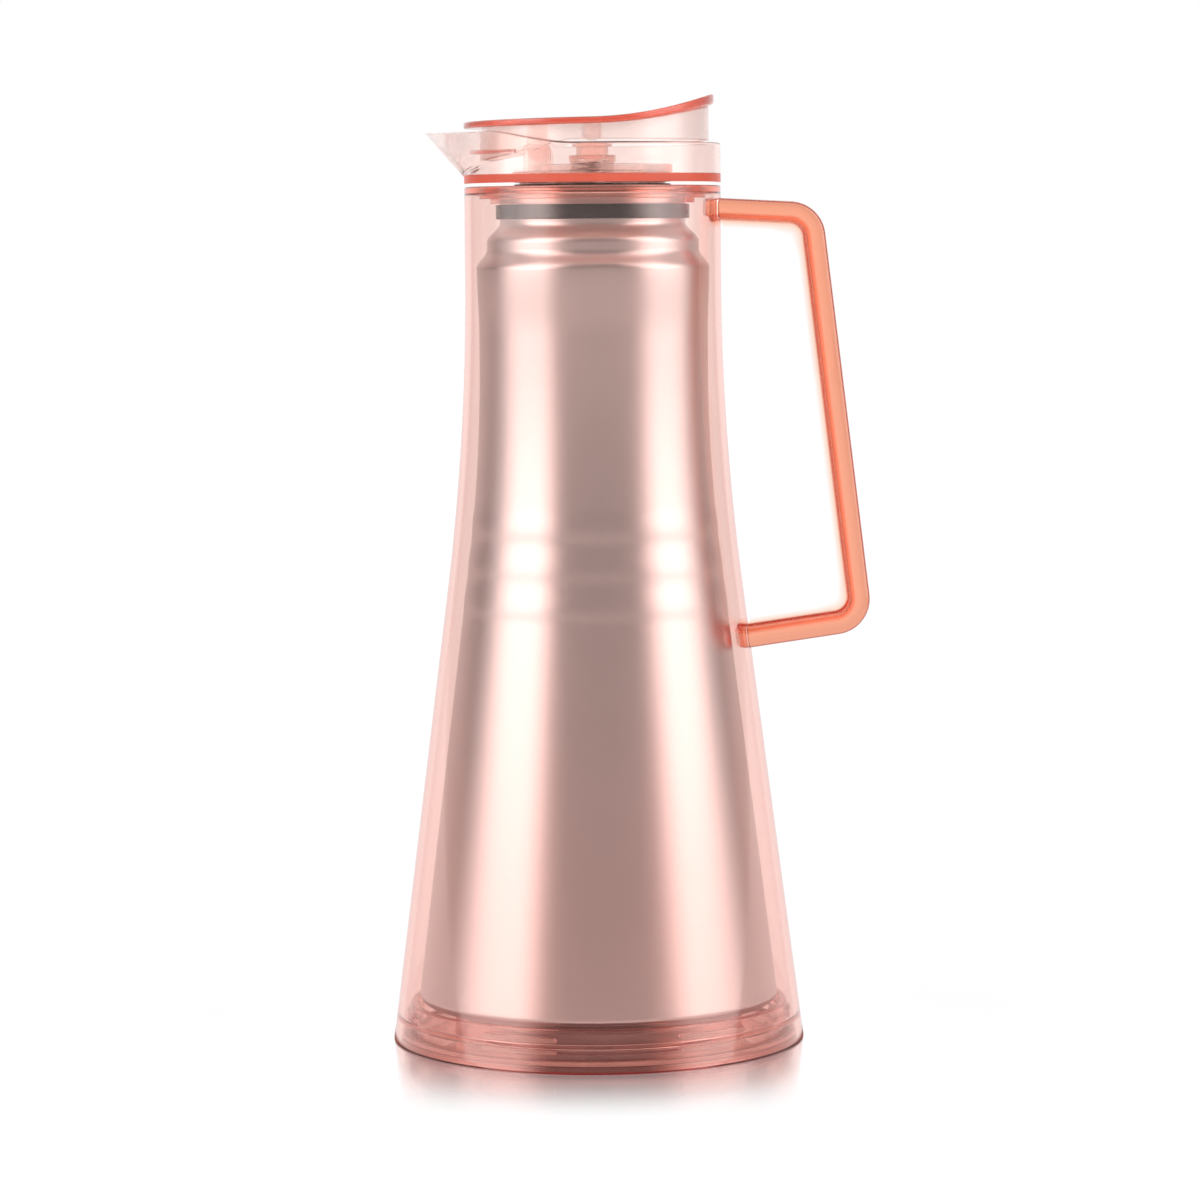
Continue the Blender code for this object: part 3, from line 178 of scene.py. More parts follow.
class CarafeLid(bpy.types.PropertyGroup):
    """Collar, stopper, valve and lever."""
    collar_height: length("Collar height", 0.0119, "Rim above the lid's underside")
    collar_wall: length("Collar wall", 0.0019, "Thickness of the collar")
    spout_reach: length("Spout reach", 0.0510, "Spout's tip from the axis")
    spout_rise: length("Spout rise", 0.0036, "Spout's tip above the rim")
    spout_root: length("Spout root", 0.0021, "Lower end of the keel above the lid's underside")
    tube: length("Spigot radius", 0.0222, "Outside of the housing's spigot")
    tube_wall: length("Spigot wall", 0.0016, "Thickness of the spigot and of the tower's floor")
    tube_end: length("Spigot end", 0.0116, "Spigot's lower end below the lid's underside")
    stopper_end: length("Stopper end", 0.0256, "Stopper's lower end below the lid's underside")
    ring_wall: length("Ring wall radius", 0.0245, "Low wall on the lid's floor")
    tower: length("Tower radius", 0.0067, "Outside of the guide tower")
    tower_end: length("Tower end", 0.0056, "Tower's lower end below the lid's underside")
    travel: length("Valve travel", 0.0024, "How far the pressed lever pushes the valve")
    pin: length("Pin radius", 0.00125, "Hinge pins of the lever")
    post: length("Post face", 0.0216, "Inner faces of the hinge posts from the middle plane")
    post_wall: length("Post wall", 0.0030, "Thickness of a hinge post")
    plate: length("Plate radius", 0.0382, "Lever's plate in plan")
    plate_shift: length("Plate shift", -0.0010, "Middle of the plate from the axis")
    plate_front: length("Plate front", 0.0186, "Plate's front edge above the lid's underside")
    plate_slope: share("Plate slope", 0.0165, "Rise of the plate's upper face towards the back")
    sweep: length("Sweep radius", 0.102, "Arc of the upswept back")
    thickness: length("Plate thickness", 0.0020, "Plate's thickness at the front")
    tip: length("Tip thickening", 0.0012, "Added thickness at the back tip")
    skirt: length("Skirt radius", 0.0346, "Wall under the plate")
    skirt_shift: length("Skirt shift", 0.0010, "Middle of the skirt from the axis")
    skirt_wall: length("Skirt wall", 0.0018, "Thickness of that wall")


class CarafeFinish(bpy.types.PropertyGroup):
    """Colours and surface values."""
    tint: colour("Plastic tint", (0.97, 0.20, 0.0), "What the plastic lets through, against its density")
    bar_tint: colour("Bar tint", (0.99, 0.34, 0.0), "The same for the handle")
    jacket_density: share("Jacket density", 90.0, "Absorption of the jacket per metre")
    base_density: share("Base density", 85.0, "Absorption of the base cap per metre")
    ring_density: share("Ring density", 60.0, "Absorption of the neck ring per metre")
    lid_density: share("Lid density", 36.0, "Absorption of the lid's collar per metre")
    frost_density: share("Frosted density", 62.0, "Absorption of the valve housing, stem and pins per metre")
    lever_density: share("Lever density", 31.0, "Absorption of the lever per metre")
    bar_density: share("Bar density", 98.0, "Absorption of the handle per metre")
    lid_blush: colour("Lid blush", (1.0, 0.93, 0.91), "Tint of the lid's mould-polished faces")
    # Painted shade: the jacket's faces are darker towards its foot
    foot: colour("Jacket foot", (1.0, 0.94, 0.93), "Added tint of the jacket's faces at its foot")
    # Painted shade: the colour that the jacket, base cap and neck ring take at grazing angles
    edge: colour("Edge", (0.68, 0.30, 0.24), "Jacket at grazing angles")
    # Painted shade: the colour that the lid's pieces take at grazing angles
    lid_grazing_shade: colour("Lid edge", (0.96, 0.80, 0.75), "Lid at grazing angles")
    # Painted shade: the handle at grazing angles and along its outer edges
    bar_edge_shade: colour("Bar edge", (0.30, 0.13, 0.11), "Handle at grazing angles")
    # Painted shade: the handle's deep orange band
    bar_painted_shade: colour("Bar depth", (1.0, 0.18, 0.085), "The handle's colour where it looks deepest")
    # Painted shade: deep red on the outer rim of the lid's floor, where it is seen edge on
    floor: colour("Lid floor", (0.76, 0.12, 0.07), "Rim of the lid's floor, seen edge on")
    # Painted highlight on the crests of the thread lugs
    lug: colour("Lugs", (1.0, 0.66, 0.58), "Polished crests of the thread lugs")
    clear_rough: share("Clear roughness", 0.03, "Haze of the polished mouldings")
    frost: share("Frost", 0.24, "Haze of the valve housing, stem and pins")
    frost_thin: share("Frost thinness", 0.65, "Share of light that goes straight through them")
    lever_rough: share("Lever roughness", 0.14, "Haze of the lever's fine matt mould")
    steel: colour("Satin steel", (0.655, 0.595, 0.585), "Drawn outer wall of the liner")
    steel_rough: share("Steel roughness", 0.30, "Blur of the drawn wall's reflections")
    bright: colour("Bright steel", (0.72, 0.70, 0.69), "Inside of the liner and spring")
    rubber: colour("Dark rubber", (0.010, 0.009, 0.010), "Neck gasket and stopper gasket")
    black: colour("Black plastic", (0.016, 0.015, 0.015), "Stopper and valve disc")
    silicone: colour("Silicone", (0.86, 0.46, 0.40), "Base seal, liner pad and valve washer")


class CarafeStage(bpy.types.PropertyGroup):
    """Camera, floor and studio."""
    lens: FloatProperty(name="Lens", description="Focal length on a 36 mm sensor", default=125.05,
                        unit='CAMERA')
    distance: length("Distance", 1.28, "Camera to the carafe's axis")
    height: length("Camera height", 0.2486, "Camera above the table")
    aside: length("Aside", 0.00135, "Camera to the right of the axis")
    pitch: angle("Pitch", 5.042, "Camera's downward tilt")
    roll: angle("Roll", 0.44, "Camera's turn about its view")
    polish: share("Floor polish", 0.85, "Share of the mirrored carafe on the floor by its base")


# Shader wires

class Wire:
    """A shader socket that takes part in arithmetic: each operator adds one Math node."""

    def __init__(self, tree, socket=None):
        self.tree = tree
        self.socket = socket

    def node(self, kind, settings=None, inputs=None, output=0):
        """Adds a node, sets it up, fills its sockets with values or wires, and gives one output."""
        made = self.tree.nodes.new(kind)
        for key, value in (settings or {}).items():
            setattr(made, key, value)
        for key, value in (inputs or {}).items():
            if isinstance(value, Wire):
                self.tree.links.new(value.socket, made.inputs[key])
            else:
                made.inputs[key].default_value = value
        return Wire(self.tree, made.outputs[output] if made.outputs else None)

    def math(self, operation, first, second):
        """A Math node on two values."""
        return self.node("ShaderNodeMath", {"operation": operation}, {0: first, 1: second})

    def __add__(self, other):
        return self.math('ADD', self, other)

    def __radd__(self, other):
        return self.math('ADD', other, self)

    def __sub__(self, other):
        return self.math('SUBTRACT', self, other)

    def __rsub__(self, other):
        return self.math('SUBTRACT', other, self)

    def __mul__(self, other):
        return self.math('MULTIPLY', self, other)

    def __rmul__(self, other):
        return self.math('MULTIPLY', other, self)

    def object_place(self):
        """Object coordinates."""
        return self.node("ShaderNodeTexCoord", output=3)

    def axis(self, vector, number):
        """One of a vector's three parts."""
        return self.node("ShaderNodeSeparateXYZ", None, {0: vector}, number)

    def stretched(self, vector, scales):
        """A vector with each part multiplied by its own scale."""
        return self.node("ShaderNodeVectorMath", {"operation": 'MULTIPLY'}, {0: vector, 1: scales})

    def size(self, vector):
        """Length of a vector."""
        return self.node("ShaderNodeVectorMath", {"operation": 'LENGTH'}, {0: vector}, 1)

    def mark(self, name):
        """A number that the mesh carries at each point, or 0."""
        return self.node("ShaderNodeAttribute", {"attribute_name": name}, None, 2)

    def ray(self, name):
        """1 for rays of a kind, and 0 for others."""
        return self.node("ShaderNodeLightPath", output=name)

    def noise(self, stretch, detail=2.0):
        """Noise on Object coordinates stretched by three scales, from 0 to 1."""
        spot = self.stretched(self.object_place(), stretch)
        return self.node("ShaderNodeTexNoise", None, {"Vector": spot, "Scale": 1.0, "Detail": detail})

    def smooth(self, value, low, high):
        """0 below low, 1 above high, and a smooth step between them."""
        return self.node("ShaderNodeMapRange", {"interpolation_type": 'SMOOTHSTEP'},
                         {"Value": value, "From Min": low, "From Max": high})

    def blend(self, factor, first, second):
        """Colour between two colours."""
        return self.node("ShaderNodeMix", {"data_type": 'RGBA'}, {0: factor, 6: first, 7: second}, 2)

    def mix(self, factor, first, second):
        """Shader between two shaders."""
        return self.node("ShaderNodeMixShader", None, {0: factor, 1: first, 2: second})

    def surface(self, inputs):
        """A Principled shader with some of its sockets filled."""
        return self.node("ShaderNodeBsdfPrincipled", None, inputs)

    def bump(self, height, strength, distance):
        """A surface direction that leans with a height."""
        inputs = {"Strength": strength, "Distance": distance, "Height": height}
        return self.node("ShaderNodeBump", None, inputs)


def new_material(name):
    """An empty node material, and a wire into its tree."""
    material = bpy.data.materials.new(name)
    material.use_nodes = True
    material.node_tree.nodes.clear()
    return material, Wire(material.node_tree)


def opaque(rgb):
    """A colour with full alpha."""
    return (*rgb, 1.0)


def shaded(rgb, factor):
    """A colour made darker or lighter, with full alpha."""
    return tuple(min(1.0, c * factor) for c in rgb) + (1.0,)


def tinted_plastic(name, density, tint, rough, edge, blush=CLEAR, foot=None, rim=None, deep=None, thin=None):
    """Clear moulded plastic: refraction, tint by depth, painted shade at grazing angles, faint haze and
    flow.

    The foot's painted shade fades out up the jacket. The rim's painted shade, deep red, lies on the outer
    edge of the lid's floor, on a lid that clears towards its spout's tip. Painted light lies where the
    mesh's own marks say: shade on the handle's band and a highlight on the lug crests, beside marks for what
    is clear and where a painted dark outline lies. Thin is the even share of light that goes straight
    through."""
    material, wire = new_material(name)
    flow = wire.noise((60.0, 60.0, 22.0))
    haze = wire.noise((240.0, 240.0, 240.0), 4.0)
    tone = wire.blend(flow, shaded(blush, 0.985), opaque(blush))
    spot = wire.object_place()
    height = wire.axis(spot, 2)
    painted_light_share = None
    clear = thin
    if foot:
        # Painted shade: darker towards the jacket's foot, fading out upwards
        foot_shade_low, foot_shade_high = 0.030, 0.160
        tone = wire.blend(wire.smooth(height, foot_shade_low, foot_shade_high), opaque(foot), tone)
    if rim:
        # Painted shade: opaque deep red on the outer rim of the lid's floor
        radius, soft = 0.0388, 0.0002
        away = wire.size(wire.stretched(spot, (1.0, 1.0, 0.0)))
        within = wire.smooth(height, LID - soft, LID) * (1 - wire.smooth(height, LID_TOP, LID_TOP + soft))
        painted_light_share = within * wire.smooth(away, radius - 3 * soft, radius) * 0.75
        clear = wire.smooth(away, radius + 0.0003, radius + 0.0016) * 0.65
    if deep:
        # Painted light from the mesh's marks: shade on the handle's band, highlight on the lug crests
        painted_light_share = wire.mark("deep") * 0.95
        clear = wire.mark("clear")
        # Painted shade: a dark outline along the handle's outer edges
        tone = wire.blend(wire.mark("outline"), tone, opaque(edge))
    # Painted shade: the colour blends to the edge colour at grazing angles
    facing = wire.node("ShaderNodeLayerWeight", None, {"Blend": 0.5}, 1)
    tone = wire.blend(wire.smooth(facing, 0.72, 1.0), tone, opaque(edge))
    inputs = {"Base Color": tone, "Roughness": rough * 0.6 + haze * (rough * 0.8), "IOR": 1.49,
              "Transmission Weight": 1.0, "Normal": wire.bump(flow, 0.015, 0.0004)}
    if clear:
        inputs["Alpha"] = 1 - clear
    shader = wire.surface(inputs)
    # Opaque paint for painted shade and painted highlight
    if painted_light_share:
        inputs = {"Base Color": opaque(rim or deep), "Roughness": 0.4, "Specular IOR Level": 0.1}
        paint = wire.surface(inputs)
        shader = wire.mix(painted_light_share, shader, paint)
    depth = wire.node("ShaderNodeVolumeAbsorption", None, {"Color": opaque(tint), "Density": density})
    wire.node("ShaderNodeOutputMaterial", None, {"Surface": shader, "Volume": depth})
    return material


def drawn_steel(name, rgb, rough, grain):
    """Satin steel with fine marks round the axis and cloudy gloss."""
    material, wire = new_material(name)
    marks = wire.noise((90.0, 90.0, 5200.0), 3.0)
    cloud = wire.noise((35.0, 35.0, 18.0), 3.0)
    tone = wire.blend(cloud, shaded(rgb, 0.97), shaded(rgb, 1.03))
    gloss = rough - 0.03 + cloud * 0.04 + marks * grain
    shader = wire.surface({"Base Color": tone, "Metallic": 1.0, "Roughness": gloss,
                           "Normal": wire.bump(marks, 0.05, 0.00002)})
    wire.node("ShaderNodeOutputMaterial", None, {"Surface": shader})
    return material


def moulded(name, rgb, rough, grain, index=1.5):
    """Opaque rubber or plastic with a fine moulded grain and uneven gloss."""
    material, wire = new_material(name)
    fine = wire.noise((2600.0, 2600.0, 2600.0), 2.0)
    cloud = wire.noise((120.0, 120.0, 120.0), 3.0)
    tone = wire.blend(cloud, shaded(rgb, 0.85), shaded(rgb, 1.15))
    gloss = rough - 0.05 + cloud * 0.1
    shader = wire.surface({"Base Color": tone, "Roughness": gloss, "IOR": index,
                           "Normal": wire.bump(fine, grain, 0.00004)})
    wire.node("ShaderNodeOutputMaterial", None, {"Surface": shader})
    return material


def finish_of(look, context):
    """The material of a look, made once."""
    name = f"look_{look}"
    found = bpy.data.materials.get(name)
    if found:
        return found
    finish = context.scene.carafe_finish
    body = {"tint": finish.tint, "rough": finish.clear_rough, "edge": finish.edge}
    lid = {**body, "edge": finish.lid_grazing_shade, "blush": finish.lid_blush}
    plastics = {
        "jacket": {**body, "density": finish.jacket_density, "foot": finish.foot},
        "base": {**body, "density": finish.base_density, "deep": finish.lug},
        "ring": {**body, "density": finish.ring_density},
        "bar": {**body, "density": finish.bar_density, "tint": finish.bar_tint, "edge": finish.bar_edge_shade,
                "deep": finish.bar_painted_shade},
        "collar": {**lid, "density": finish.lid_density, "rim": finish.floor},
        "frosted": {**lid, "density": finish.frost_density, "rough": finish.frost,
                    "thin": finish.frost_thin},
        "lever": {**lid, "density": finish.lever_density, "rough": finish.lever_rough},
    }
    steels = {
        "satin_steel": {"rgb": finish.steel, "rough": finish.steel_rough, "grain": 0.04},
        "bright_steel": {"rgb": finish.bright, "rough": 0.18, "grain": 0.03},
    }
    mouldings = {
        "dark_rubber": {"rgb": finish.rubber, "rough": 0.26, "grain": 0.03, "index": 1.9},
        "black_plastic": {"rgb": finish.black, "rough": 0.32, "grain": 0.10},
        "soft_silicone": {"rgb": finish.silicone, "rough": 0.45, "grain": 0.08},
    }
    for make, looks in ((tinted_plastic, plastics), (drawn_steel, steels), (moulded, mouldings)):
        if look in looks:
            return make(name, **looks[look])
    raise KeyError(look)


# Surfaces

def quads(rows, columns, wrap_rows, wrap_columns):
    """Corner numbers of the quads between neighbouring points of a grid."""
    r = np.arange(rows if wrap_rows else rows - 1)[:, None]
    c = np.arange(columns if wrap_columns else columns - 1)[None, :]
    below = (r + 1) % rows
    right = (c + 1) % columns
    corners = [r * columns + c, r * columns + right, below * columns + right, below * columns + c]
    return np.stack(corners, -1).reshape(-1, 4)


def grid_mesh(name, points, wrap_rows=True, wrap_columns=True, marks=None):
    """A mesh of a grid of points, welded at its poles, with its faces turned outwards.

    Marks are named sets of one number for each point, kept as attributes for the material."""
    rows, columns, _ = points.shape
    faces = quads(rows, columns, wrap_rows, wrap_columns)
    mesh = bpy.data.meshes.new(name)
    mesh.vertices.add(rows * columns)
    mesh.vertices.foreach_set("co", points.astype(np.float32).ravel())
    mesh.loops.add(faces.size)
    mesh.loops.foreach_set("vertex_index", faces.astype(np.int32).ravel())
    mesh.polygons.add(len(faces))
    mesh.polygons.foreach_set("loop_start", np.arange(0, faces.size, 4, dtype=np.int32))
    mesh.update(calc_edges=True)
    for mark, values in (marks or {}).items():
        kept = mesh.attributes.new(mark, 'FLOAT', 'POINT')
        kept.data.foreach_set("value", values.astype(np.float32).ravel())
    return welded(mesh)


def welded(mesh):
    """Merges points that coincide, closes open ends and turns the faces outwards."""
    same, thin = 1e-7, 1e-8
    solid = bmesh.new()
    solid.from_mesh(mesh)
    bmesh.ops.remove_doubles(solid, verts=solid.verts, dist=same)
    bmesh.ops.dissolve_degenerate(solid, edges=solid.edges, dist=thin)
    open_edges = [e for e in solid.edges if e.is_boundary]
    if open_edges:
        bmesh.ops.holes_fill(solid, edges=open_edges)
    bmesh.ops.recalc_face_normals(solid, faces=solid.faces)
    solid.to_mesh(mesh)
    solid.free()
    return mesh


def place(name, mesh):
    """An object for a mesh, at the scene's origin."""
    thing = bpy.data.objects.new(name, mesh)
    bpy.context.scene.collection.objects.link(thing)
    return thing


def joined(base, others, operation):
    """Boolean of meshes on the first one; the others are used up."""
    target = place("target", base)
    tools = [place("tool", mesh) for mesh in others]
    for tool in tools:
        step = target.modifiers.new("join", 'BOOLEAN')
        step.operation = operation
        step.solver = 'EXACT'
        step.object = tool
    bpy.context.view_layer.update()
    graph = bpy.context.evaluated_depsgraph_get()
    mesh = bpy.data.meshes.new_from_object(target.evaluated_get(graph))
    for thing in [target] + tools:
        bpy.data.objects.remove(thing)
    return welded(mesh)


def piece(context, name, mesh, node, body, slot, look=None):
    """A finished piece: smooth with crisp edges, dressed, riding on its body in a CAD node's place."""
    mesh.name = name
    mesh.materials.clear()
    mesh.materials.append(finish_of(look or slot, context))
    mesh.shade_smooth()
    mesh.set_sharp_from_angle(angle=math.radians(32))
    thing = place(name, mesh)
    normals = thing.modifiers.new("even normals", 'WEIGHTED_NORMAL')
    normals.keep_sharp = True
    normals.weight = 90
    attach(thing, body)
    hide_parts(node)
    return thing


def eased(loop, reach, steps=4):
    """A closed loop with each corner C made the curve (1-t)^2 A + 2t(1-t) C + t^2 B.

    A and B lie on the corner's two edges, at the corner's reach from it. Works on stacks of loops."""
    loop = np.asarray(loop, float)
    reach = np.broadcast_to(np.asarray(reach, float), loop.shape[:-1])[..., None]
    back = np.roll(loop, 1, axis=-2) - loop
    ahead = np.roll(loop, -1, axis=-2) - loop
    far_back = np.maximum(np.linalg.norm(back, axis=-1, keepdims=True), 1e-9)
    far_ahead = np.maximum(np.linalg.norm(ahead, axis=-1, keepdims=True), 1e-9)
    start = (loop + back * np.minimum(reach / far_back, 0.48))[..., None, :]
    end = (loop + ahead * np.minimum(reach / far_ahead, 0.48))[..., None, :]
    corner = loop[..., None, :]
    t = np.linspace(0, 1, steps + 1)[:, None]
    curve = (1 - t) ** 2 * start + 2 * t * (1 - t) * corner + t ** 2 * end
    return curve.reshape(*loop.shape[:-2], -1, 2)


def eased_chain(chain, reach, steps=4):
    """The inner corners of an open chain, eased; its two ends only give directions."""
    return eased(chain, reach, steps)[..., steps + 1:-steps - 1, :]


def profile(*stretches):
    """One (radius, height) array from stretches of points."""
    return np.concatenate([np.atleast_2d(np.asarray(s, float)) for s in stretches])


def around(segments):
    """Even angles round a circle."""
    return np.arange(segments) * (2 * math.pi / segments)


def turned(points, angles, rise=0.0):
    """A profile turned about Z: radius r and height z at angle a go to (r cos a, r sin a, z).

    A rise, given for each point and angle, is added to the radius."""
    points = np.asarray(points, float)
    r = points[:, 0:1] + rise
    z = points[:, 1:2]
    return np.stack([r * np.cos(angles), r * np.sin(angles), z + 0 * angles], -1)


def turned_mesh(name, points, segments=192, closed=True):
    """A profile turned about Z at even angles."""
    return grid_mesh(name, turned(points, around(segments)), wrap_rows=closed)


def turned_piece(context, name, points, node, slot, look=None, body="jug", segments=192, closed=True):
    """A profile turned about Z as a finished piece."""
    return piece(context, name, turned_mesh(name, points, segments, closed), node, body, slot, look)


def ring_loop(inner, outer, low, high, ease, steps=4):
    """Section of a plain ring with eased corners."""
    return eased([(outer, high), (outer, low), (inner, low), (inner, high)], ease, steps)


def flared(z, top, base, meet, flare):
    """Radius of a cone that runs into a cylinder through one large arc, at each height."""
    slope = (base - top) / meet
    lean = math.atan(slope)
    reach = flare * math.tan(lean / 2)
    drop = np.clip(meet + reach - z, 0, None)
    curve = top + flare - np.sqrt(np.maximum(flare ** 2 - drop ** 2, 0))
    return np.where(z <= meet - reach * math.cos(lean), base - slope * z, curve)


def jacket_radius(z, body):
    """Jacket's outside at each height."""
    return flared(np.asarray(z, float), body.rim_radius, body.base_radius, body.cone_meet, body.flare)


def liner_radius(z, body):
    """Liner's outside at each height below its shoulder."""
    z = np.asarray(z, float)
    return flared(z, body.liner_waist, body.liner_base, body.liner_meet, body.liner_flare)


def smoothstep(x):
    """0 below 0, 1 above 1, and 3 x^2 - 2 x^3 between them."""
    x = np.clip(x, 0, 1)
    return x * x * (3 - 2 * x)


def wall_levels(low, high):
    """Heights down a flared wall, close together above its straight cone."""
    cone = 0.105
    return np.concatenate([np.linspace(high, cone + 0.005, 60), np.linspace(cone, low, 12)])


# Jacket and base

def handle_line(body, bar):
    """Ends and corners of the bar's middle line in x and z, top end first."""
    top = np.array([jacket_radius(bar.top, body), bar.top])
    low = np.array([jacket_radius(bar.foot, body), bar.foot])
    top_corner = top + (bar.upper_out, bar.upper_up)
    low_corner = low + (bar.lower_out, bar.lower_up)
    ends = []
    for wall, corner in ((top, top_corner), (low, low_corner)):
        inside = wall[0] - body.wall
        reach = math.sqrt(inside ** 2 - (bar.clip_width / 2) ** 2)
        along = (corner - wall) / np.linalg.norm(corner - wall)
        ends.append(wall + along * (reach - wall[0]) / along[0])
    return ends[0], top_corner, low_corner, ends[1]


def bar_section(bar, fin, grow=0.0):
    """Section of the bar at each station, as pairs of outward and across.

    A bar with flat sides slopes in from its creases to a tapered fin in the middle of its inner side. The
    fin's depth is given for each station. Two points in front of the crease bound the band of painted shade."""
    fin = np.asarray(fin, float)
    level = np.ones(fin.shape)[..., None]
    wide = bar.width / 2 + grow
    ledge = bar.outer - bar.depth - grow
    crease = bar.outer - bar.crease
    half_band = 0.0008
    out = level * (bar.outer + grow, crease + bar.band, crease + half_band, crease, ledge, ledge)
    out[..., -1] -= fin
    across = level * (wide, wide, wide, wide, bar.fin_root / 2, bar.fin_tip / 2)
    half = np.stack([out, across], -1)
    other = half[..., ::-1, :] * (1, -1)
    reach = np.array([0.0026, 0.0002, 0.0002, 0.0006, 0.0040, 0.0002])
    return eased(np.concatenate([half, other], -2), np.concatenate([reach, reach[::-1]]), 8)


def swept(line, section):
    """Sections carried along a line in the x-z plane.

    Their first axis lies in that plane, square to the line, and their second one along Y."""
    tangent = np.gradient(line, axis=0)
    tangent /= np.linalg.norm(tangent, axis=1, keepdims=True)
    outward = np.stack([-tangent[:, 1], tangent[:, 0]], -1)
    flat = line[:, None, :] + outward[:, None, :] * section[..., 0:1]
    return np.stack([flat[..., 0], section[..., 1], flat[..., 1]], -1)


def bent(route, radius, straight=60, turn=24):
    """A route of corners as one line: straight stretches with an arc of the radius at each inner corner."""
    route = [np.asarray(p, float) for p in route]
    stretches = []
    start = route[0]
    for before, corner, after in zip(route, route[1:], route[2:]):
        back = (before - corner) / np.linalg.norm(before - corner)
        ahead = (after - corner) / np.linalg.norm(after - corner)
        half = math.acos(float(back @ ahead)) / 2
        middle = corner + (back + ahead) / np.linalg.norm(back + ahead) * radius / math.sin(half)
        first = corner + back * radius / math.tan(half) - middle
        last = corner + ahead * radius / math.tan(half) - middle
        swing = math.pi - 2 * half
        a = np.linspace(0, swing, turn)[:, None]
        arc = (first * np.sin(swing - a) + last * np.sin(a)) / math.sin(swing) + middle
        stretches.append(np.linspace(start, arc[0], straight)[:-1])
        stretches.append(arc[:-1])
        start = arc[-1]
    stretches.append(np.linspace(start, route[-1], straight))
    return np.concatenate(stretches)


def arm_holes(body, bar):
    """Prisms that cut the arms' holes through the jacket: the bar's section carried along each arm's end."""
    top_end, top_corner, low_corner, low_end = handle_line(body, bar)
    inwards, outwards = 0.003, 0.009
    section = bar_section(bar, np.zeros(3), SNUG)
    tools = []
    for end, corner, order in ((top_end, top_corner, 1), (low_end, low_corner, -1)):
        along = (corner - end) / np.linalg.norm(corner - end)
        line = np.linspace(end - along * inwards, end + along * outwards, 3)[::order]
        tools.append(grid_mesh("hole", swept(line, section), wrap_rows=False))
    return tools


def cap_radius(body):
    """Outside of the base cap's wall."""
    return float(jacket_radius(body.cap_top, body)) - body.cap_room


class CARAFE_OT_jacket(bpy.types.Operator):
    """Tinted jacket: cone and cylinder in one wall, with top flange, thread rib and the arms' holes"""
    bl_idname = "carafe.jacket"
    bl_label = "Jacket"

    def execute(self, context):
        body = context.scene.carafe_body
        edge = 0.002
        thread_top = 0.0111
        levels = wall_levels(body.lift + edge, RIM - edge)
        outside = np.stack([jacket_radius(levels, body), levels], -1)
        levels = wall_levels(thread_top, RIM - body.flange - edge)[::-1]
        inside = np.stack([jacket_radius(levels, body) - body.wall, levels], -1)
        rib = cap_radius(body) + GAP
        low = body.lug_low + body.lug_half + GAP
        high = body.lug_low + body.lug_pitch - body.lug_half - GAP
        foot = float(jacket_radius(body.lift, body))
        low_wall, high_wall = jacket_radius([low, high], body) - body.wall
        thread = eased_chain(
            [outside[-1], (foot, body.lift), (foot - body.wall, body.lift), (low_wall, low), (rib, low),
             (rib, high), (high_wall, high), inside[0]],
            [0, 0.0003, 0.0003, 0.0001, 0.0002, 0.0002, 0.0001, 0])
        under = RIM - body.flange
        flange = eased_chain(
            [inside[-1], (body.rim_radius - body.wall, under), (body.flange_hole, under),
             (body.flange_hole, RIM), (body.rim_radius, RIM), outside[0]],
            [0, 0.0004, 0.0003, 0.0003, 0.0006, 0])
        mesh = turned_mesh("jacket", profile(outside, thread, inside, flange), 256)
        mesh = joined(mesh, arm_holes(body, context.scene.carafe_handle), 'DIFFERENCE')
        piece(context, "jacket", mesh, "outer_shell", "jug", "tinted_clear", "jacket")
        return {'FINISHED'}


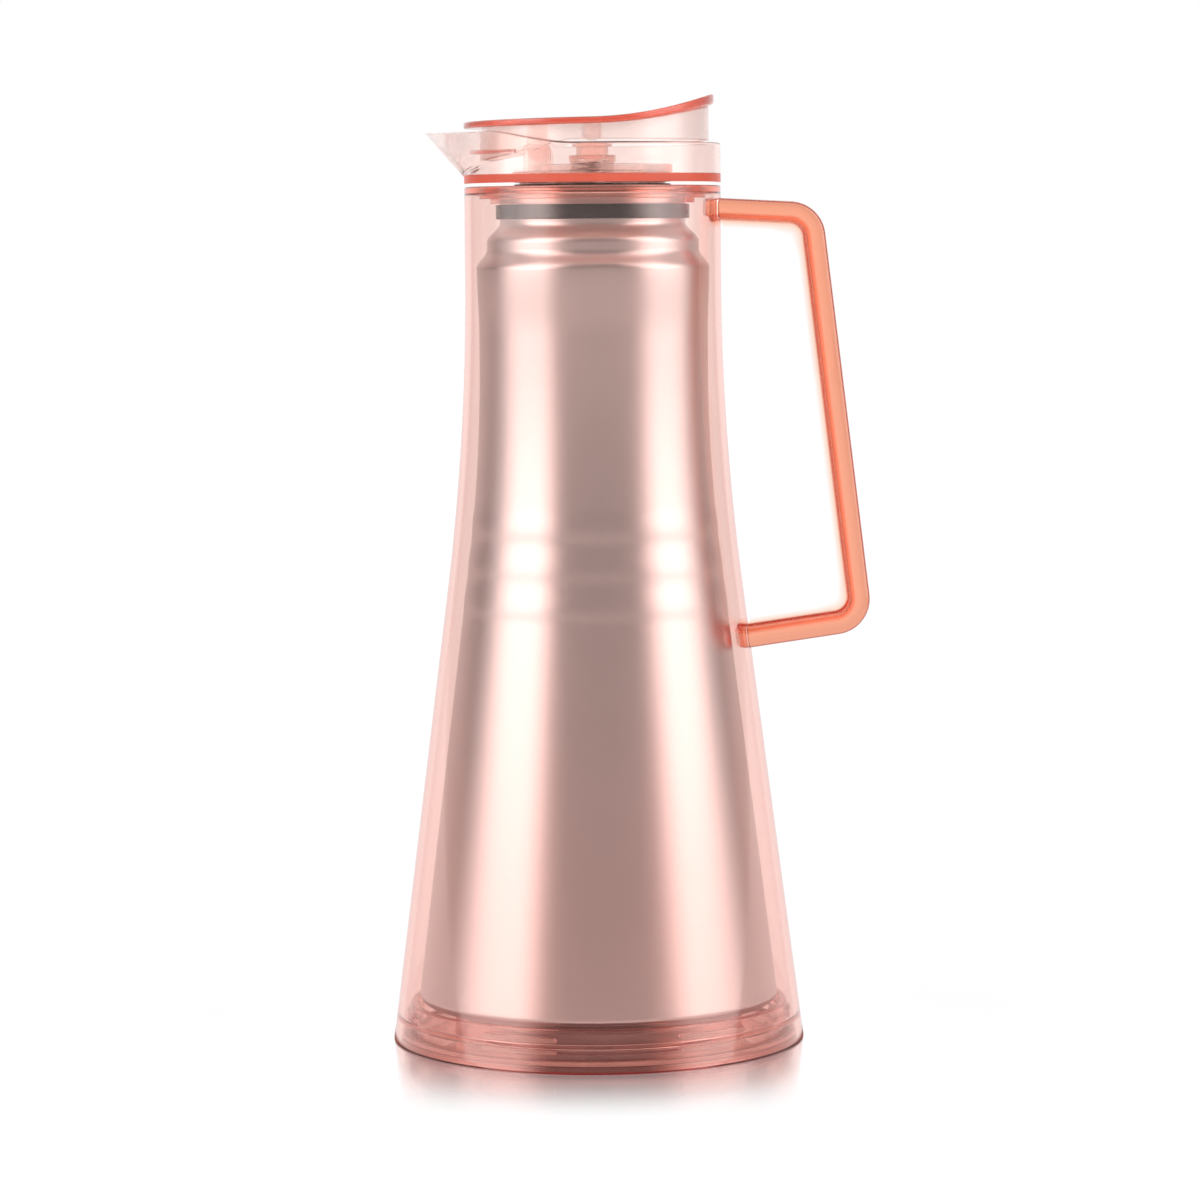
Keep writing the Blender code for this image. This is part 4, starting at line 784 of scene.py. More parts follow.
class CARAFE_OT_base(bpy.types.Operator):
    """Screw-in base cap with two rows of short thread lugs, its gasket and the liner's pad"""
    bl_idname = "carafe.base"
    bl_label = "Base"

    def execute(self, context):
        body = context.scene.carafe_body
        radius = cap_radius(body)
        lip, upstand = 0.0016, 0.0088
        self.cup(context, body, radius, lip, upstand)
        low = lip + GAP
        high = low + 0.0014
        outside = float(jacket_radius(high, body)) - body.wall - GAP
        seal = ring_loop(radius + GAP, outside, low, high, 0.0004)
        turned_piece(context, "base_seal", seal, "base_gasket", "soft_silicone")
        pad = ring_loop(0.0403, 0.0463, upstand + GAP, body.liner_foot - GAP, 0.0008)
        turned_piece(context, "foot_pad", pad, "liner_pad", "soft_silicone")
        return {'FINISHED'}

    def cup(self, context, body, radius, lip, upstand):
        """A floor with an upstand ring for the pad, a wall with thread lugs, and a lip under the jacket.

        A lug is a bar with round ends: its rise is a smooth step of the distance from its middle line."""
        rows = body.lug_low + body.lug_pitch * np.arange(2)
        beside = np.linspace(-0.0012, 0.0012, 17)
        levels = np.sort(np.concatenate([[0.0022, 0.0114], (rows[:, None] + beside).ravel()]))[::-1]
        wall = np.stack([np.full(levels.shape, radius), levels], -1)
        inside = radius - body.cap_wall
        floor = body.cap_floor
        ring_in, ring_out = 0.0421, 0.0445
        upper = eased_chain(
            [(0, floor), (ring_in, floor), (ring_in, upstand), (ring_out, upstand), (ring_out, floor),
             (inside, floor), (inside, body.cap_top), (radius, body.cap_top), wall[0]],
            [0, 0.0005, 0.0004, 0.0004, 0.0005, 0.0008, 0.0005, 0.0005, 0])
        edge = float(jacket_radius(body.lift, body)) - body.wall - GAP
        recess, recess_in, recess_out = 0.0008, 0.018, 0.0479
        under = eased_chain(
            [wall[-1], (radius, lip), (edge, lip), (edge, 0), (recess_out, 0), (recess_out, recess),
             (recess_in, recess), (recess_in, 0), (0, 0)],
            [0, 0.0002, 0.0003, 0.0004, 0.0003, 0.0003, 0.0003, 0.0003, 0])
        points = profile((0, floor), upper, wall, under, (0, 0))
        middles = around(body.lug_count) + math.pi / body.lug_count - math.pi / 2 + body.lug_turn
        ends = (middles[:, None] + np.array([-0.5, 0.5]) * body.lug_span).ravel()
        fine = (ends[:, None] + np.linspace(-0.0022, 0.0022, 19) / radius).ravel()
        angles = np.unique(np.round(np.concatenate([fine, around(192)]) % (2 * math.pi), 5))
        away = (angles - middles[:, None] + math.pi) % (2 * math.pi) - math.pi
        along = np.maximum(np.abs(away) - body.lug_span / 2, 0).min(0) * radius
        up = np.abs(points[:, 1:2, None] - rows).min(-1)
        flank = 0.00045
        lug = smoothstep((body.lug_half - np.hypot(up, along)) / flank + 0.5)
        lug = lug * (np.abs(points[:, 0:1] - radius) < 1e-5)
        grid = turned(points, angles, lug * body.lug_depth)
        # The lugs carry a painted highlight on their crests
        mesh = grid_mesh("base_cup", grid, wrap_rows=False, marks={"deep": 0.6 * lug})
        piece(context, "base_cup", mesh, "base_cap", "jug", "tinted_clear", "base")


# Liner

def corner_arc(body, radius, middle_radius, inset, bottom):
    """Arc between the liner's cone, inset from its face, and a flat bottom, from the cone downwards."""
    slope = (body.liner_base - body.liner_waist) / body.liner_meet
    lean = math.atan(slope)
    height = bottom + middle_radius
    middle = body.liner_base - inset - slope * height - middle_radius / math.cos(lean)
    a = np.linspace(lean, -math.pi / 2, 20)
    return np.stack([middle + radius * np.cos(a), height + radius * np.sin(a)], -1)


def drawn_wall(body, inset):
    """Liner's wall from the neck to the foot: a neck, two smooth bends, and a flared cone with three beads.

    A bend is a smooth step in radius over height. A bead is a crest that falls off as a squared cosine,
    with a tighter crease under it."""
    neck_top, upper_bend, lower_bend, shoulder_low = 0.2608, 0.2516, 0.2434, 0.2380
    bends = np.linspace(0.2530, 0.2360, 56)
    cylinder = np.linspace(0.2350, 0.1680, 24)
    beads = np.linspace(0.1675, 0.1290, 90)
    cone = np.linspace(0.1250, 0.0175, 12)
    z = np.concatenate([[neck_top], bends, cylinder, beads, cone])
    upper = smoothstep((upper_bend - z) / 0.0058)
    lower = smoothstep((lower_bend - z) / 0.0056)
    ease = smoothstep((shoulder_low - z) / 0.02)
    top = body.neck + (body.step - body.neck) * upper + (body.shoulder - body.step) * lower
    below = body.shoulder + (liner_radius(z, body) - body.shoulder) * ease
    r = np.where(z > lower_bend - 0.0056, top, below)
    crest = body.bead_top - body.bead_pitch * np.arange(3)
    away = (z[:, None] - crest) / np.where(z[:, None] > crest, 0.0062, 0.0056)
    rise = np.where(np.abs(away) < 1, np.cos(np.clip(away, -1, 1) * math.pi / 2) ** 2, 0).max(-1)
    return np.stack([r + rise * body.bead_rise - inset, z], -1)


class CARAFE_OT_liner(bpy.types.Operator):
    """Steel vacuum liner: outer wall, inner bottle, bottom plate, port plug and getter"""
    bl_idname = "carafe.liner"
    bl_label = "Liner"

    def execute(self, context):
        body = context.scene.carafe_body
        foot = body.liner_foot
        wall = body.liner_wall
        hole = 0.0378
        outer = profile(drawn_wall(body, 0), corner_arc(body, body.foot_round, body.foot_round, 0, foot))
        inner = profile(
            [(hole, foot), (hole, foot + wall)],
            corner_arc(body, body.foot_round - wall, body.foot_round, 0, foot)[::-1],
            drawn_wall(body, wall)[::-1])
        turned_piece(context, "steel_wall", profile(outer, inner), "liner_outer_wall", "satin_steel")
        bottom = foot + wall + 0.0045
        self.bottle(context, body, bottom)
        self.closure(context, body, hole - GAP)
        pellet, thick = 0.006, 0.0015
        high = bottom - GAP
        low = high - thick
        loop = eased([(0, high), (pellet, high), (pellet, low), (0, low)], [0, 0.0003, 0.0003, 0])
        mesh = grid_mesh("getter_pellet", turned(loop, around(64)) + (0.014, 0, 0), wrap_rows=False)
        piece(context, "getter_pellet", mesh, "getter", "jug", "bright_steel")
        return {'FINISHED'}

    def bottle(self, context, body, bottom):
        """Inner bottle: a lipped throat that opens with a smooth step to a wall beside the outer one."""
        wall = body.liner_wall
        inset = wall + body.vacuum
        neck = body.neck - wall - 0.0010
        throat_end = BOTTLE_TOP - 0.0189
        opening, lip, corner = 0.008, 0.0007, 0.009
        below = np.linspace(0.233, 0.034, 70)
        levels = np.concatenate([np.linspace(throat_end, throat_end - opening, 16), below])
        bend = smoothstep((throat_end - levels) / opening)
        outside = np.stack([neck + (liner_radius(levels, body) - inset - neck) * bend, levels], -1)
        inside = outside - (wall, 0)
        low = BOTTLE_TOP - lip
        throat = eased_chain(
            [outside[0], (neck, low), (body.neck, low), (body.neck, BOTTLE_TOP), (neck - wall, BOTTLE_TOP),
             inside[0]],
            [0, 0.0001, 0.0002, 0.0002, 0.0004, 0])
        points = profile(
            (0, bottom + wall), corner_arc(body, corner - wall, corner, inset, bottom)[::-1], inside[::-1],
            throat[::-1], outside, corner_arc(body, corner, corner, inset, bottom), (0, bottom))
        turned_piece(context, "steel_bottle", points, "liner_inner_wall", "bright_steel", closed=False)

    def closure(self, context, body, radius):
        """Dished plate in the foot's hole, and the plug in the plate's port."""
        foot = body.liner_foot
        wall = body.liner_wall
        seat = foot + body.bottom_rise
        port = 0.002
        under = np.array([(radius, foot), (0.0308, foot), (0.0268, seat), (port, seat)])
        ease = [0.0002, 0.002, 0.002, 0.0002]
        plate = eased(np.concatenate([under, under[::-1] + (0, wall)]), ease + ease)
        turned_piece(context, "foot_plate", plate, "liner_bottom", "satin_steel")
        shank = port - GAP
        high = seat + wall + GAP
        low = seat - 0.0012
        plug = eased(
            [(0, high), (shank, high), (shank, seat - GAP), (0.0045, seat - GAP), (0.0040, low), (0, low)],
            [0, 0.0003, 0.0001, 0.0002, 0.0003, 0])
        turned_piece(context, "port_plug", plug, "vacuum_plug", "dark_rubber", segments=64, closed=False)


class CARAFE_OT_neck(bpy.types.Operator):
    """Stepped tinted ring in the jacket's mouth and the dark gasket round the liner's neck"""
    bl_idname = "carafe.neck"
    bl_label = "Neck"

    def execute(self, context):
        body = context.scene.carafe_body
        top = RIM - 0.0002
        under = RIM - body.flange - GAP
        step = under - 0.0012
        low = step - 0.0015
        spigot = body.flange_hole - GAP
        inside = body.neck + GAP
        wide, narrow = 0.0346, 0.0313
        ring = eased([(spigot, top), (spigot, under), (wide, under), (wide, step), (narrow, step),
                      (narrow, low), (inside, low), (inside, top)], 0.00022)
        turned_piece(context, "mouth_ring", ring, "neck_ring", "tinted_deep", "ring", segments=256)
        high = low - GAP
        sleeve = ring_loop(inside, inside + 0.0009, high - body.sleeve, high, 0.00018, 3)
        turned_piece(context, "neck_sleeve", sleeve, "neck_gasket", "dark_rubber")
        return {'FINISHED'}


class CARAFE_OT_handle(bpy.types.Operator):
    """Tinted bar bent to a D, with a fin on its inner side, and the clips that hold its arms inside"""
    bl_idname = "carafe.handle"
    bl_label = "Handle"

    def execute(self, context):
        body = context.scene.carafe_body
        bar = context.scene.carafe_handle
        top_end, top_corner, low_corner, low_end = handle_line(body, bar)
        line = bent((top_end, top_corner, low_corner, low_end), bar.bend)
        along = np.concatenate([[0], np.cumsum(np.linalg.norm(np.diff(line, axis=0), axis=1))])
        past = np.minimum(along, along[-1] - along) - bar.start
        corners = np.stack([top_corner, low_corner])
        near = np.linalg.norm(line[:, None] - corners, axis=-1).min(-1)
        gusset = bar.gusset * smoothstep(1.5 - near / (1.2 * bar.bend))
        section = bar_section(bar, smoothstep(past / bar.fade) * (bar.fin + gusset))
        marks = self.marks(bar, line, section)
        mesh = grid_mesh("handle_bar", swept(line, section), wrap_rows=False, marks=marks)
        piece(context, "handle_bar", mesh, "handle", "jug", "tinted_deep", "bar")
        for name, end, corner, thick in (("upper", top_end, top_corner, 0.0023),
                                         ("lower", low_end, low_corner, 0.0011)):
            self.clip(context, name, end, (corner - end) / np.linalg.norm(corner - end), thick)
        return {'FINISHED'}

    def marks(self, bar, line, section):
        """How much painted shade stands, how clear the surface is and where the painted dark outline lies,
        at each point.

        The painted shade deepens by a smooth step along the band, most on level stretches, and gives way to
        the clear slopes and fin behind the crease. The painted outline falls off exponentially behind the
        outer face."""
        slope, start, soft = 0.0015, 0.0002, 0.0009
        behind = bar.outer - section[..., 0]
        level = np.abs(np.gradient(line[:, 0])) / np.linalg.norm(np.gradient(line, axis=0), axis=1)
        clear = smoothstep((behind - bar.crease + start) / slope)
        deep = smoothstep((behind - bar.crease + bar.band) / bar.band) * (1 - clear)
        edges = smoothstep((np.abs(section[..., 1]) - 0.0044) / 0.0004)
        return {
            "deep": deep * (0.9 + 0.1 * level[:, None]),
            "clear": clear,
            "outline": np.exp(-behind / soft) * edges,
        }

    def clip(self, context, name, end, along, thick):
        """A flat block square to its arm: a rounded box that shrinks by the edge's width at both faces."""
        bar = context.scene.carafe_handle
        half = np.array([bar.clip_height, bar.clip_width]) / 2
        edge = 0.0004
        box = eased(np.array([(1, 1), (-1, 1), (-1, -1), (1, -1)]) * half, 0.0012, 5)
        back = SNUG + np.array([thick, thick - edge, edge, 0])
        section = box * (1 - np.array([edge, 0, 0, edge])[:, None, None] / half)
        mesh = grid_mesh(f"{name}_clip", swept(end - along * back[:, None], section), wrap_rows=False)
        piece(context, f"{name}_clip", mesh, f"{name}_handle_clip", "jug", "tinted_deep", "bar")


# Lid

def slab(outline, centre, low, high, edge):
    """A flat outline between two levels, drawn in towards its centre by the edge's width at both faces.

    Gives the outline's points and their levels in four rows."""
    inward = centre - outline
    inward = inward / np.linalg.norm(inward, axis=1, keepdims=True)
    flat = outline + inward * np.array([edge, 0, 0, edge])[:, None, None]
    level = np.array([low, low + edge, high - edge, high])
    return flat, np.broadcast_to(level[:, None], flat.shape[:2])


def upright_plate(outline, middle, thickness):
    """A slab whose outline lies in x and z and whose levels run along Y."""
    low, high = middle - thickness / 2, middle + thickness / 2
    flat, y = slab(outline, outline.mean(0), low, high, 0.00015)
    return grid_mesh("plate", np.stack([flat[..., 0], y, flat[..., 1]], -1), wrap_rows=False)


def arc_points(middle, radius, start, end, steps):
    """Points on a circle's arc, at even angles."""
    a = np.linspace(start, end, steps)
    return np.stack([middle[0] + radius * np.cos(a), middle[1] + radius * np.sin(a)], -1)


def rod_mesh(name, radius, start, end, edge=0.0002):
    """A round rod along Y on the hinge axis, with cut corners at its ends."""
    half = (end - start) / 2
    points = [(0, half), (radius - edge, half), (radius, half - edge), (radius, edge - half),
              (radius - edge, -half), (0, -half)]
    x, up, along = np.moveaxis(turned(points, around(48)), -1, 0)
    grid = np.stack([PIVOT[0] + x, along + (start + end) / 2, PIVOT[1] - up], -1)
    return grid_mesh(name, grid, wrap_rows=False)


class CARAFE_OT_collar(bpy.types.Operator):
    """Lid collar with its floor, pulled spout and hinge posts"""
    bl_idname = "carafe.collar"
    bl_label = "Collar"

    def execute(self, context):
        lid = context.scene.carafe_lid
        mesh = self.wall(context.scene.carafe_body, lid)
        mesh = joined(mesh, self.posts(lid), 'UNION')
        reach = lid.post + lid.post_wall + GAP
        mesh = joined(mesh, [rod_mesh("hole", lid.pin + GAP, -reach, reach)], 'DIFFERENCE')
        piece(context, "spouted_collar", mesh, "lid_collar", "lid", "tinted_clear", "collar")
        return {'FINISHED'}

    def wall(self, body, lid):
        """One section for each angle from the spout, where the rim's radius grows as 1 / cos to the tip.

        The rim rises by a smooth step, and the keel's crease climbs evenly from the spout's root to it."""
        lip_start, lip_length, crease_end = math.radians(82), math.radians(46), math.radians(78)
        turn = np.linspace(-math.pi, math.pi, 361)[:-1]
        away = np.abs(turn)
        even = np.ones(away.shape)
        pull = math.acos(body.rim_radius / lid.spout_reach)
        rim = LID + lid.collar_height
        root = LID + lid.spout_root
        tip = body.rim_radius / np.cos(np.maximum(0, pull - away))
        height = rim + lid.spout_rise * smoothstep((lip_start - away) / lip_length)
        crease = root + (rim - 0.0012 - root) * np.minimum(1, away / crease_end)
        inner_crease = np.maximum(crease, LID_TOP + 0.0006)
        outside = even * body.rim_radius
        inside = outside - lid.collar_wall
        hole = even * (lid.tube + GAP)
        r = [tip, outside, outside, hole, hole, inside, inside, tip - lid.collar_wall]
        z = [height, crease, even * LID, even * LID, even * LID_TOP, even * LID_TOP, inner_crease, height]
        reach = [0.0007, 0.0004, 0.0002, 0.0002, 0.0003, 0.0003, 0.0004, 0.0007]
        loops = eased(np.stack([np.stack(r, -1), np.stack(z, -1)], -1), reach)
        r, z = loops[..., 0], loops[..., 1]
        return grid_mesh("collar", np.stack([-r * np.cos(turn)[:, None], -r * np.sin(turn)[:, None], z], -1))

    def posts(self, lid):
        """Two upright plates with round upper corners, sunk a little into the floor."""
        half, rise, corner, sunk = 0.0040, 0.0024, 0.002, 0.001
        left, right = PIVOT[0] - half, PIVOT[0] + half
        top = PIVOT[1] + rise - corner
        outline = profile([(left, LID_TOP - sunk), (right, LID_TOP - sunk)],
                          arc_points((right - corner, top), corner, 0, math.pi / 2, 9),
                          arc_points((left + corner, top), corner, math.pi / 2, math.pi, 9))
        middle = lid.post + lid.post_wall / 2
        return [upright_plate(outline, side * middle, lid.post_wall) for side in (-1, 1)]


class CARAFE_OT_housing(bpy.types.Operator):
    """Valve housing: low ring wall, spigot through the floor and the ribbed guide tower"""
    bl_idname = "carafe.housing"
    bl_label = "Valve housing"

    def execute(self, context):
        lid = context.scene.carafe_lid
        seat = LID_TOP + GAP
        ledge = seat + 0.0008
        top = LID_TOP + 0.0031
        low = LID - lid.tube_end
        wall, inside = lid.ring_wall, lid.tube - lid.tube_wall
        ring = eased([(wall, top), (wall, seat), (lid.tube, seat), (lid.tube, low), (inside, low),
                      (inside, ledge), (wall - lid.tube_wall, ledge), (wall - lid.tube_wall, top)], 0.0002)
        under = LID - lid.tower_end
        parts = [self.tower(lid, under)] + [self.rib(lid, under, turn) for turn in around(3)]
        mesh = joined(turned_mesh("housing", ring), parts, 'UNION')
        mesh = joined(mesh, [self.front_cut(ledge, top)], 'DIFFERENCE')
        piece(context, "guide_housing", mesh, "valve_housing", "lid", "tinted_deep", "frosted")
        return {'FINISHED'}

    def tower(self, lid, under):
        """A cup with a lipped rim and the stem's hole in its floor."""
        rim = LID + 0.0084
        lip = rim - 0.0018
        flare, hole, bore = 0.0005, 0.0025, 0.0053
        floor = under + lid.tube_wall
        loop = eased([(lid.tower + flare, rim), (lid.tower + flare, lip), (lid.tower, lip - flare),
                      (lid.tower, under), (hole, under), (hole, floor), (bore, floor), (bore, rim)], 0.0002)
        return turned_mesh("tower", loop, 96)

    def rib(self, lid, under, turn):
        """A rounded box carried outwards from the tower into the spigot's wall."""
        half, height = 0.0009, 0.006
        box = ring_loop(-half, half, under, under + height, 0.0002, 3)
        out = np.array([lid.tower - 0.0007, lid.tube - lid.tube_wall / 2])[:, None]
        across = box[:, 0]
        x = out * math.cos(turn) - across * math.sin(turn)
        y = out * math.sin(turn) + across * math.cos(turn)
        return grid_mesh("rib", np.stack([x, y, np.broadcast_to(box[:, 1], x.shape)], -1), wrap_rows=False)

    def front_cut(self, low, high):
        """A block that opens the ring wall towards the spout."""
        front, back, half = -0.0261, -0.009, 0.016
        corners = np.array([(front, -half), (back, -half), (back, half), (front, half)])
        levels = np.array([low, high + 0.002])
        flat = np.broadcast_to(corners, (2, 4, 2))
        z = np.broadcast_to(levels[:, None, None], (2, 4, 1))
        return grid_mesh("cut", np.concatenate([flat, z], -1), wrap_rows=False)


class CARAFE_OT_stopper(bpy.types.Operator):
    """Black stopper under the lid with its thread ridges, and the gasket in its groove"""
    bl_idname = "carafe.stopper"
    bl_label = "Stopper"

    def execute(self, context):
        lid = context.scene.carafe_lid
        outside = lid.tube + GAP + 0.0015
        groove, groove_height, groove_depth = LID - 0.0139, 0.0032, 0.001
        floor = outside - groove_depth
        self.tube(context, lid, outside, floor, groove, groove - groove_height)
        inner = floor + GAP
        high = groove - GAP
        low = groove - groove_height + GAP
        swell, far = inner + groove_depth, 0.0259
        ring = eased([(swell, high), (far, (high + low) / 2), (swell, low), (inner, low), (inner, high)],
                     [0.0003, 0.0009, 0.0003, 0.0002, 0.0002], 5)
        turned_piece(context, "stopper_seal", ring, "stopper_gasket", "dark_rubber", body="lid_seal")
        return {'FINISHED'}

    def tube(self, context, lid, outside, floor, groove, groove_low):
        """A cup with a hole in its floor and a gasket groove.

        Its thread is a ridge whose phase grows with height and turn, faded out at its ends and two gates."""
        wide = lid.tube + GAP
        narrow = lid.tube - lid.tube_wall
        top = LID - GAP
        end = LID - lid.stopper_end
        seat = end + 0.002
        step = LID - lid.tube_end - GAP
        pour = 0.0095
        levels = np.linspace(top - 0.0008, groove + 0.0006, 46)
        side = np.stack([np.full(levels.shape, outside), levels], -1)
        loop = eased_chain(
            [side[-1], (outside, groove), (floor, groove), (floor, groove_low), (outside, groove_low),
             (outside - 0.0012, end), (pour, end), (pour, seat), (narrow, seat), (narrow, step),
             (wide, step), (wide, top), (outside, top), side[0]],
            [0, 0.0003, 0.0002, 0.0002, 0.0003, 0.0008, 0.0004, 0.0004, 0.0008, 0.0002, 0.0002, 0.0003,
             0.0004, 0])
        points = profile(side, loop)
        angles = around(256)
        height = points[:, 1:2]
        pitch, thread_top, depth, soft = 0.0036, top - 0.0022, 0.0008, 0.0008
        phase = 2 * math.pi * (height - thread_top) / pitch + angles
        ridge = smoothstep((np.cos(phase) - 0.45) / 0.4)
        fade = smoothstep((top - 0.0012 - height) / soft) * smoothstep((height - groove - 0.001) / soft)
        gates = smoothstep((np.cos(2 * angles) + 0.55) / 0.3)
        rise = ridge * fade * gates * depth * (np.abs(points[:, 0:1] - outside) < 1e-6)
        mesh = grid_mesh("black_stopper", turned(points, angles, rise))
        piece(context, "black_stopper", mesh, "stopper", "lid", "black_plastic")


class CARAFE_OT_valve(bpy.types.Operator):
    """Valve stem with its cap, disc and washer, the return spring and the hinge pins"""
    bl_idname = "carafe.valve"
    bl_label = "Valve"

    def execute(self, context):
        lid = context.scene.carafe_lid
        cap = STEM_TOP - 0.0016
        shoulder = cap - 0.0037
        end = LID - lid.stopper_end
        hub = end - 0.002
        seal_top = end - GAP
        disc = seal_top - 0.003 - GAP
        under = disc - 0.0018
        head, guide, rod, tail = 0.0062, 0.0049, 0.0022, 0.0015
        stem = eased(
            [(0, STEM_TOP), (head, STEM_TOP), (head, cap), (guide, cap), (guide, shoulder),
             (rod, shoulder), (rod, hub + GAP), (tail, hub + GAP), (tail, under), (0, under)],
            [0, 0.0007, 0.0004, 0.0002, 0.0003, 0.0002, 0.0002, 0.0001, 0.0003, 0])
        turned_piece(context, "push_stem", stem, "valve_stem", "tinted_deep", "frosted", "valve", 96, False)
        bore, boss, wide = tail + GAP, 0.0045, 0.012
        rim = disc - 0.0009
        plate = eased([(boss, hub), (boss, disc), (wide, disc), (wide, rim), (boss, under), (bore, under),
                       (bore, hub)], 0.0003)
        turned_piece(context, "seat_disc", plate, "valve_disc", "black_plastic", None, "valve", 96)
        washer = ring_loop(boss + GAP, wide, disc + GAP, seal_top, 0.0006)
        turned_piece(context, "seat_washer", washer, "valve_seal", "soft_silicone", None, "valve", 96)
        self.spring(context, lid, shoulder)
        near, far = 0.0181, 0.0246
        for name, start, stop in (("near", -far, -near), ("far", near, far)):
            mesh = rod_mesh(f"{name}_pin", lid.pin, start, stop)
            piece(context, f"{name}_pin", mesh, f"hinge_pin_{name}", "lid", "tinted_deep", "frosted")
        return {'FINISHED'}

    def spring(self, context, lid, shoulder):
        """A wire circle carried along a helix: the angle grows evenly, the height slower at both ends."""
        wire, radius, turns = 0.0004, 0.0039, 6
        seat = LID - lid.tower_end + lid.tube_wall
        low = seat + GAP + wire
        high = shoulder - GAP - wire
        t = np.linspace(0, 1, 400)
        turn = 2 * math.pi * turns * t
        rise = smoothstep(t) * 0.35 + t * 0.65
        line = np.stack([radius * np.cos(turn), radius * np.sin(turn), low + (high - low) * rise], -1)
        tangent = np.gradient(line, axis=0)
        tangent /= np.linalg.norm(tangent, axis=1, keepdims=True)
        outward = np.stack([np.cos(turn), np.sin(turn), 0 * turn], -1)
        upward = np.cross(tangent, outward)
        a = around(14)[:, None]
        grid = line[:, None] + wire * (np.cos(a) * outward[:, None] + np.sin(a) * upward[:, None])
        mesh = grid_mesh("return_spring", grid, wrap_rows=False)
        coil = piece(context, "return_spring", mesh, "valve_spring", "lid", "bright_steel")
        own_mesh(coil)


# Lever

def plate_top(x, lid):
    """Upper face: a gentle slope, then an arc behind the axis."""
    front = lid.plate_shift - lid.plate
    sweep = lid.sweep - np.sqrt(lid.sweep ** 2 - np.maximum(0, x) ** 2)
    return LID + lid.plate_front + lid.plate_slope * (x - front) + sweep


def plate_under(x, lid):
    """Lower face: the plate thickens with the square of the way to its back tip."""
    back = np.maximum(0, x) / (lid.plate_shift + lid.plate)
    return plate_top(x, lid) - lid.thickness - lid.tip * back ** 2


def plate_middle(x, lid):
    """Height half way through the plate."""
    return (plate_top(x, lid) + plate_under(x, lid)) / 2


def wave_plate(lid):
    """Round plate: radius and share of the thickness run along an eased section, turned about its middle."""
    flat = 0.036
    across = np.linspace(0, flat, 24)
    lower = np.stack([across, 0 * across], -1)
    upper = np.stack([across, 0 * across + lid.thickness], -1)[::-1]
    edge = eased_chain([lower[-1], (lid.plate, 0), (lid.plate, lid.thickness), upper[0]], 0.0007, 6)
    r, up = profile(lower, edge, upper).T[..., None]
    a = around(256)
    x = lid.plate_shift + r * np.cos(a)
    under = plate_under(x, lid)
    z = under + up / lid.thickness * (plate_top(x, lid) - under)
    return grid_mesh("lever_plate", np.stack([x, r * np.sin(a), z], -1), wrap_rows=False)


def skirt_low(x):
    """Lower edge of the skirt: level at the back, a slant, and level again at the front."""
    front, back = -0.0325, -0.0080
    return LID + np.interp(x, [front, back], [0.0068, 0.0126])


def skirt_wall(lid):
    """Round wall from its slanted lower edge up into the plate, shifted a little towards the back."""
    a = around(256)[:, None]
    outer, inner = lid.skirt, lid.skirt - lid.skirt_wall
    r = np.broadcast_to((outer, outer, inner, inner), (256, 4))
    x = r * np.cos(a)
    z = np.where((True, False, False, True), plate_middle(x, lid), skirt_low(x))
    loops = eased(np.stack([r, z], -1), [0.0001, 0.0004, 0.0004, 0.0001])
    r, z = loops[..., 0], loops[..., 1]
    return grid_mesh("skirt", np.stack([r * np.cos(a) + lid.skirt_shift, r * np.sin(a), z], -1))


def half_moon(radius, back, low, high):
    """A level slab between a circle's front and a chord behind it."""
    reach = math.acos(-back / radius)
    outline = arc_points((0, 0), radius, math.pi - reach, math.pi + reach, 97)
    flat, z = slab(outline, np.array([back - 0.006, 0.0]), low, high, 0.0003)
    return grid_mesh("shutter", np.concatenate([flat, z[..., None]], -1), wrap_rows=False)


class CARAFE_OT_lever(bpy.types.Operator):
    """Press lever: wave-shaped plate with skirt, front shutter, presser and hinge ears"""
    bl_idname = "carafe.lever"
    bl_label = "Lever"

    def execute(self, context):
        lid = context.scene.carafe_lid
        shutter_top, shutter_wall = LID + 0.0099, 0.0012
        shutter = half_moon(0.0366, -0.0222, shutter_top - shutter_wall, shutter_top)
        middle = float(plate_middle(0.0, lid))
        tip = STEM_TOP + 0.0004
        shank, point = 0.0028, 0.0012
        presser = eased([(0, middle), (shank, middle), (shank, tip + point), (point, tip), (0, tip)],
                        [0, 0, 0.0003, 0.0003, 0])
        ear, ear_middle, ear_wall = 0.0028, 0.0197, 0.0032
        root = float(plate_middle(PIVOT[0], lid))
        outline = profile([(PIVOT[0] + ear, root), (PIVOT[0] - ear, root)],
                          arc_points(PIVOT, ear, -math.pi, 0, 25))
        parts = [skirt_wall(lid), shutter, turned_mesh("presser", presser, 64, closed=False)]
        parts += [upright_plate(outline, side * ear_middle, ear_wall) for side in (-1, 1)]
        mesh = joined(wave_plate(lid), parts, 'UNION')
        hole = lid.pin + 0.00008
        mesh = joined(mesh, [rod_mesh("hole", hole, -lid.post, lid.post, 0.00005)], 'DIFFERENCE')
        piece(context, "press_lever", mesh, "lever", "lever", "tinted_deep", "lever")
        return {'FINISHED'}


# Stage

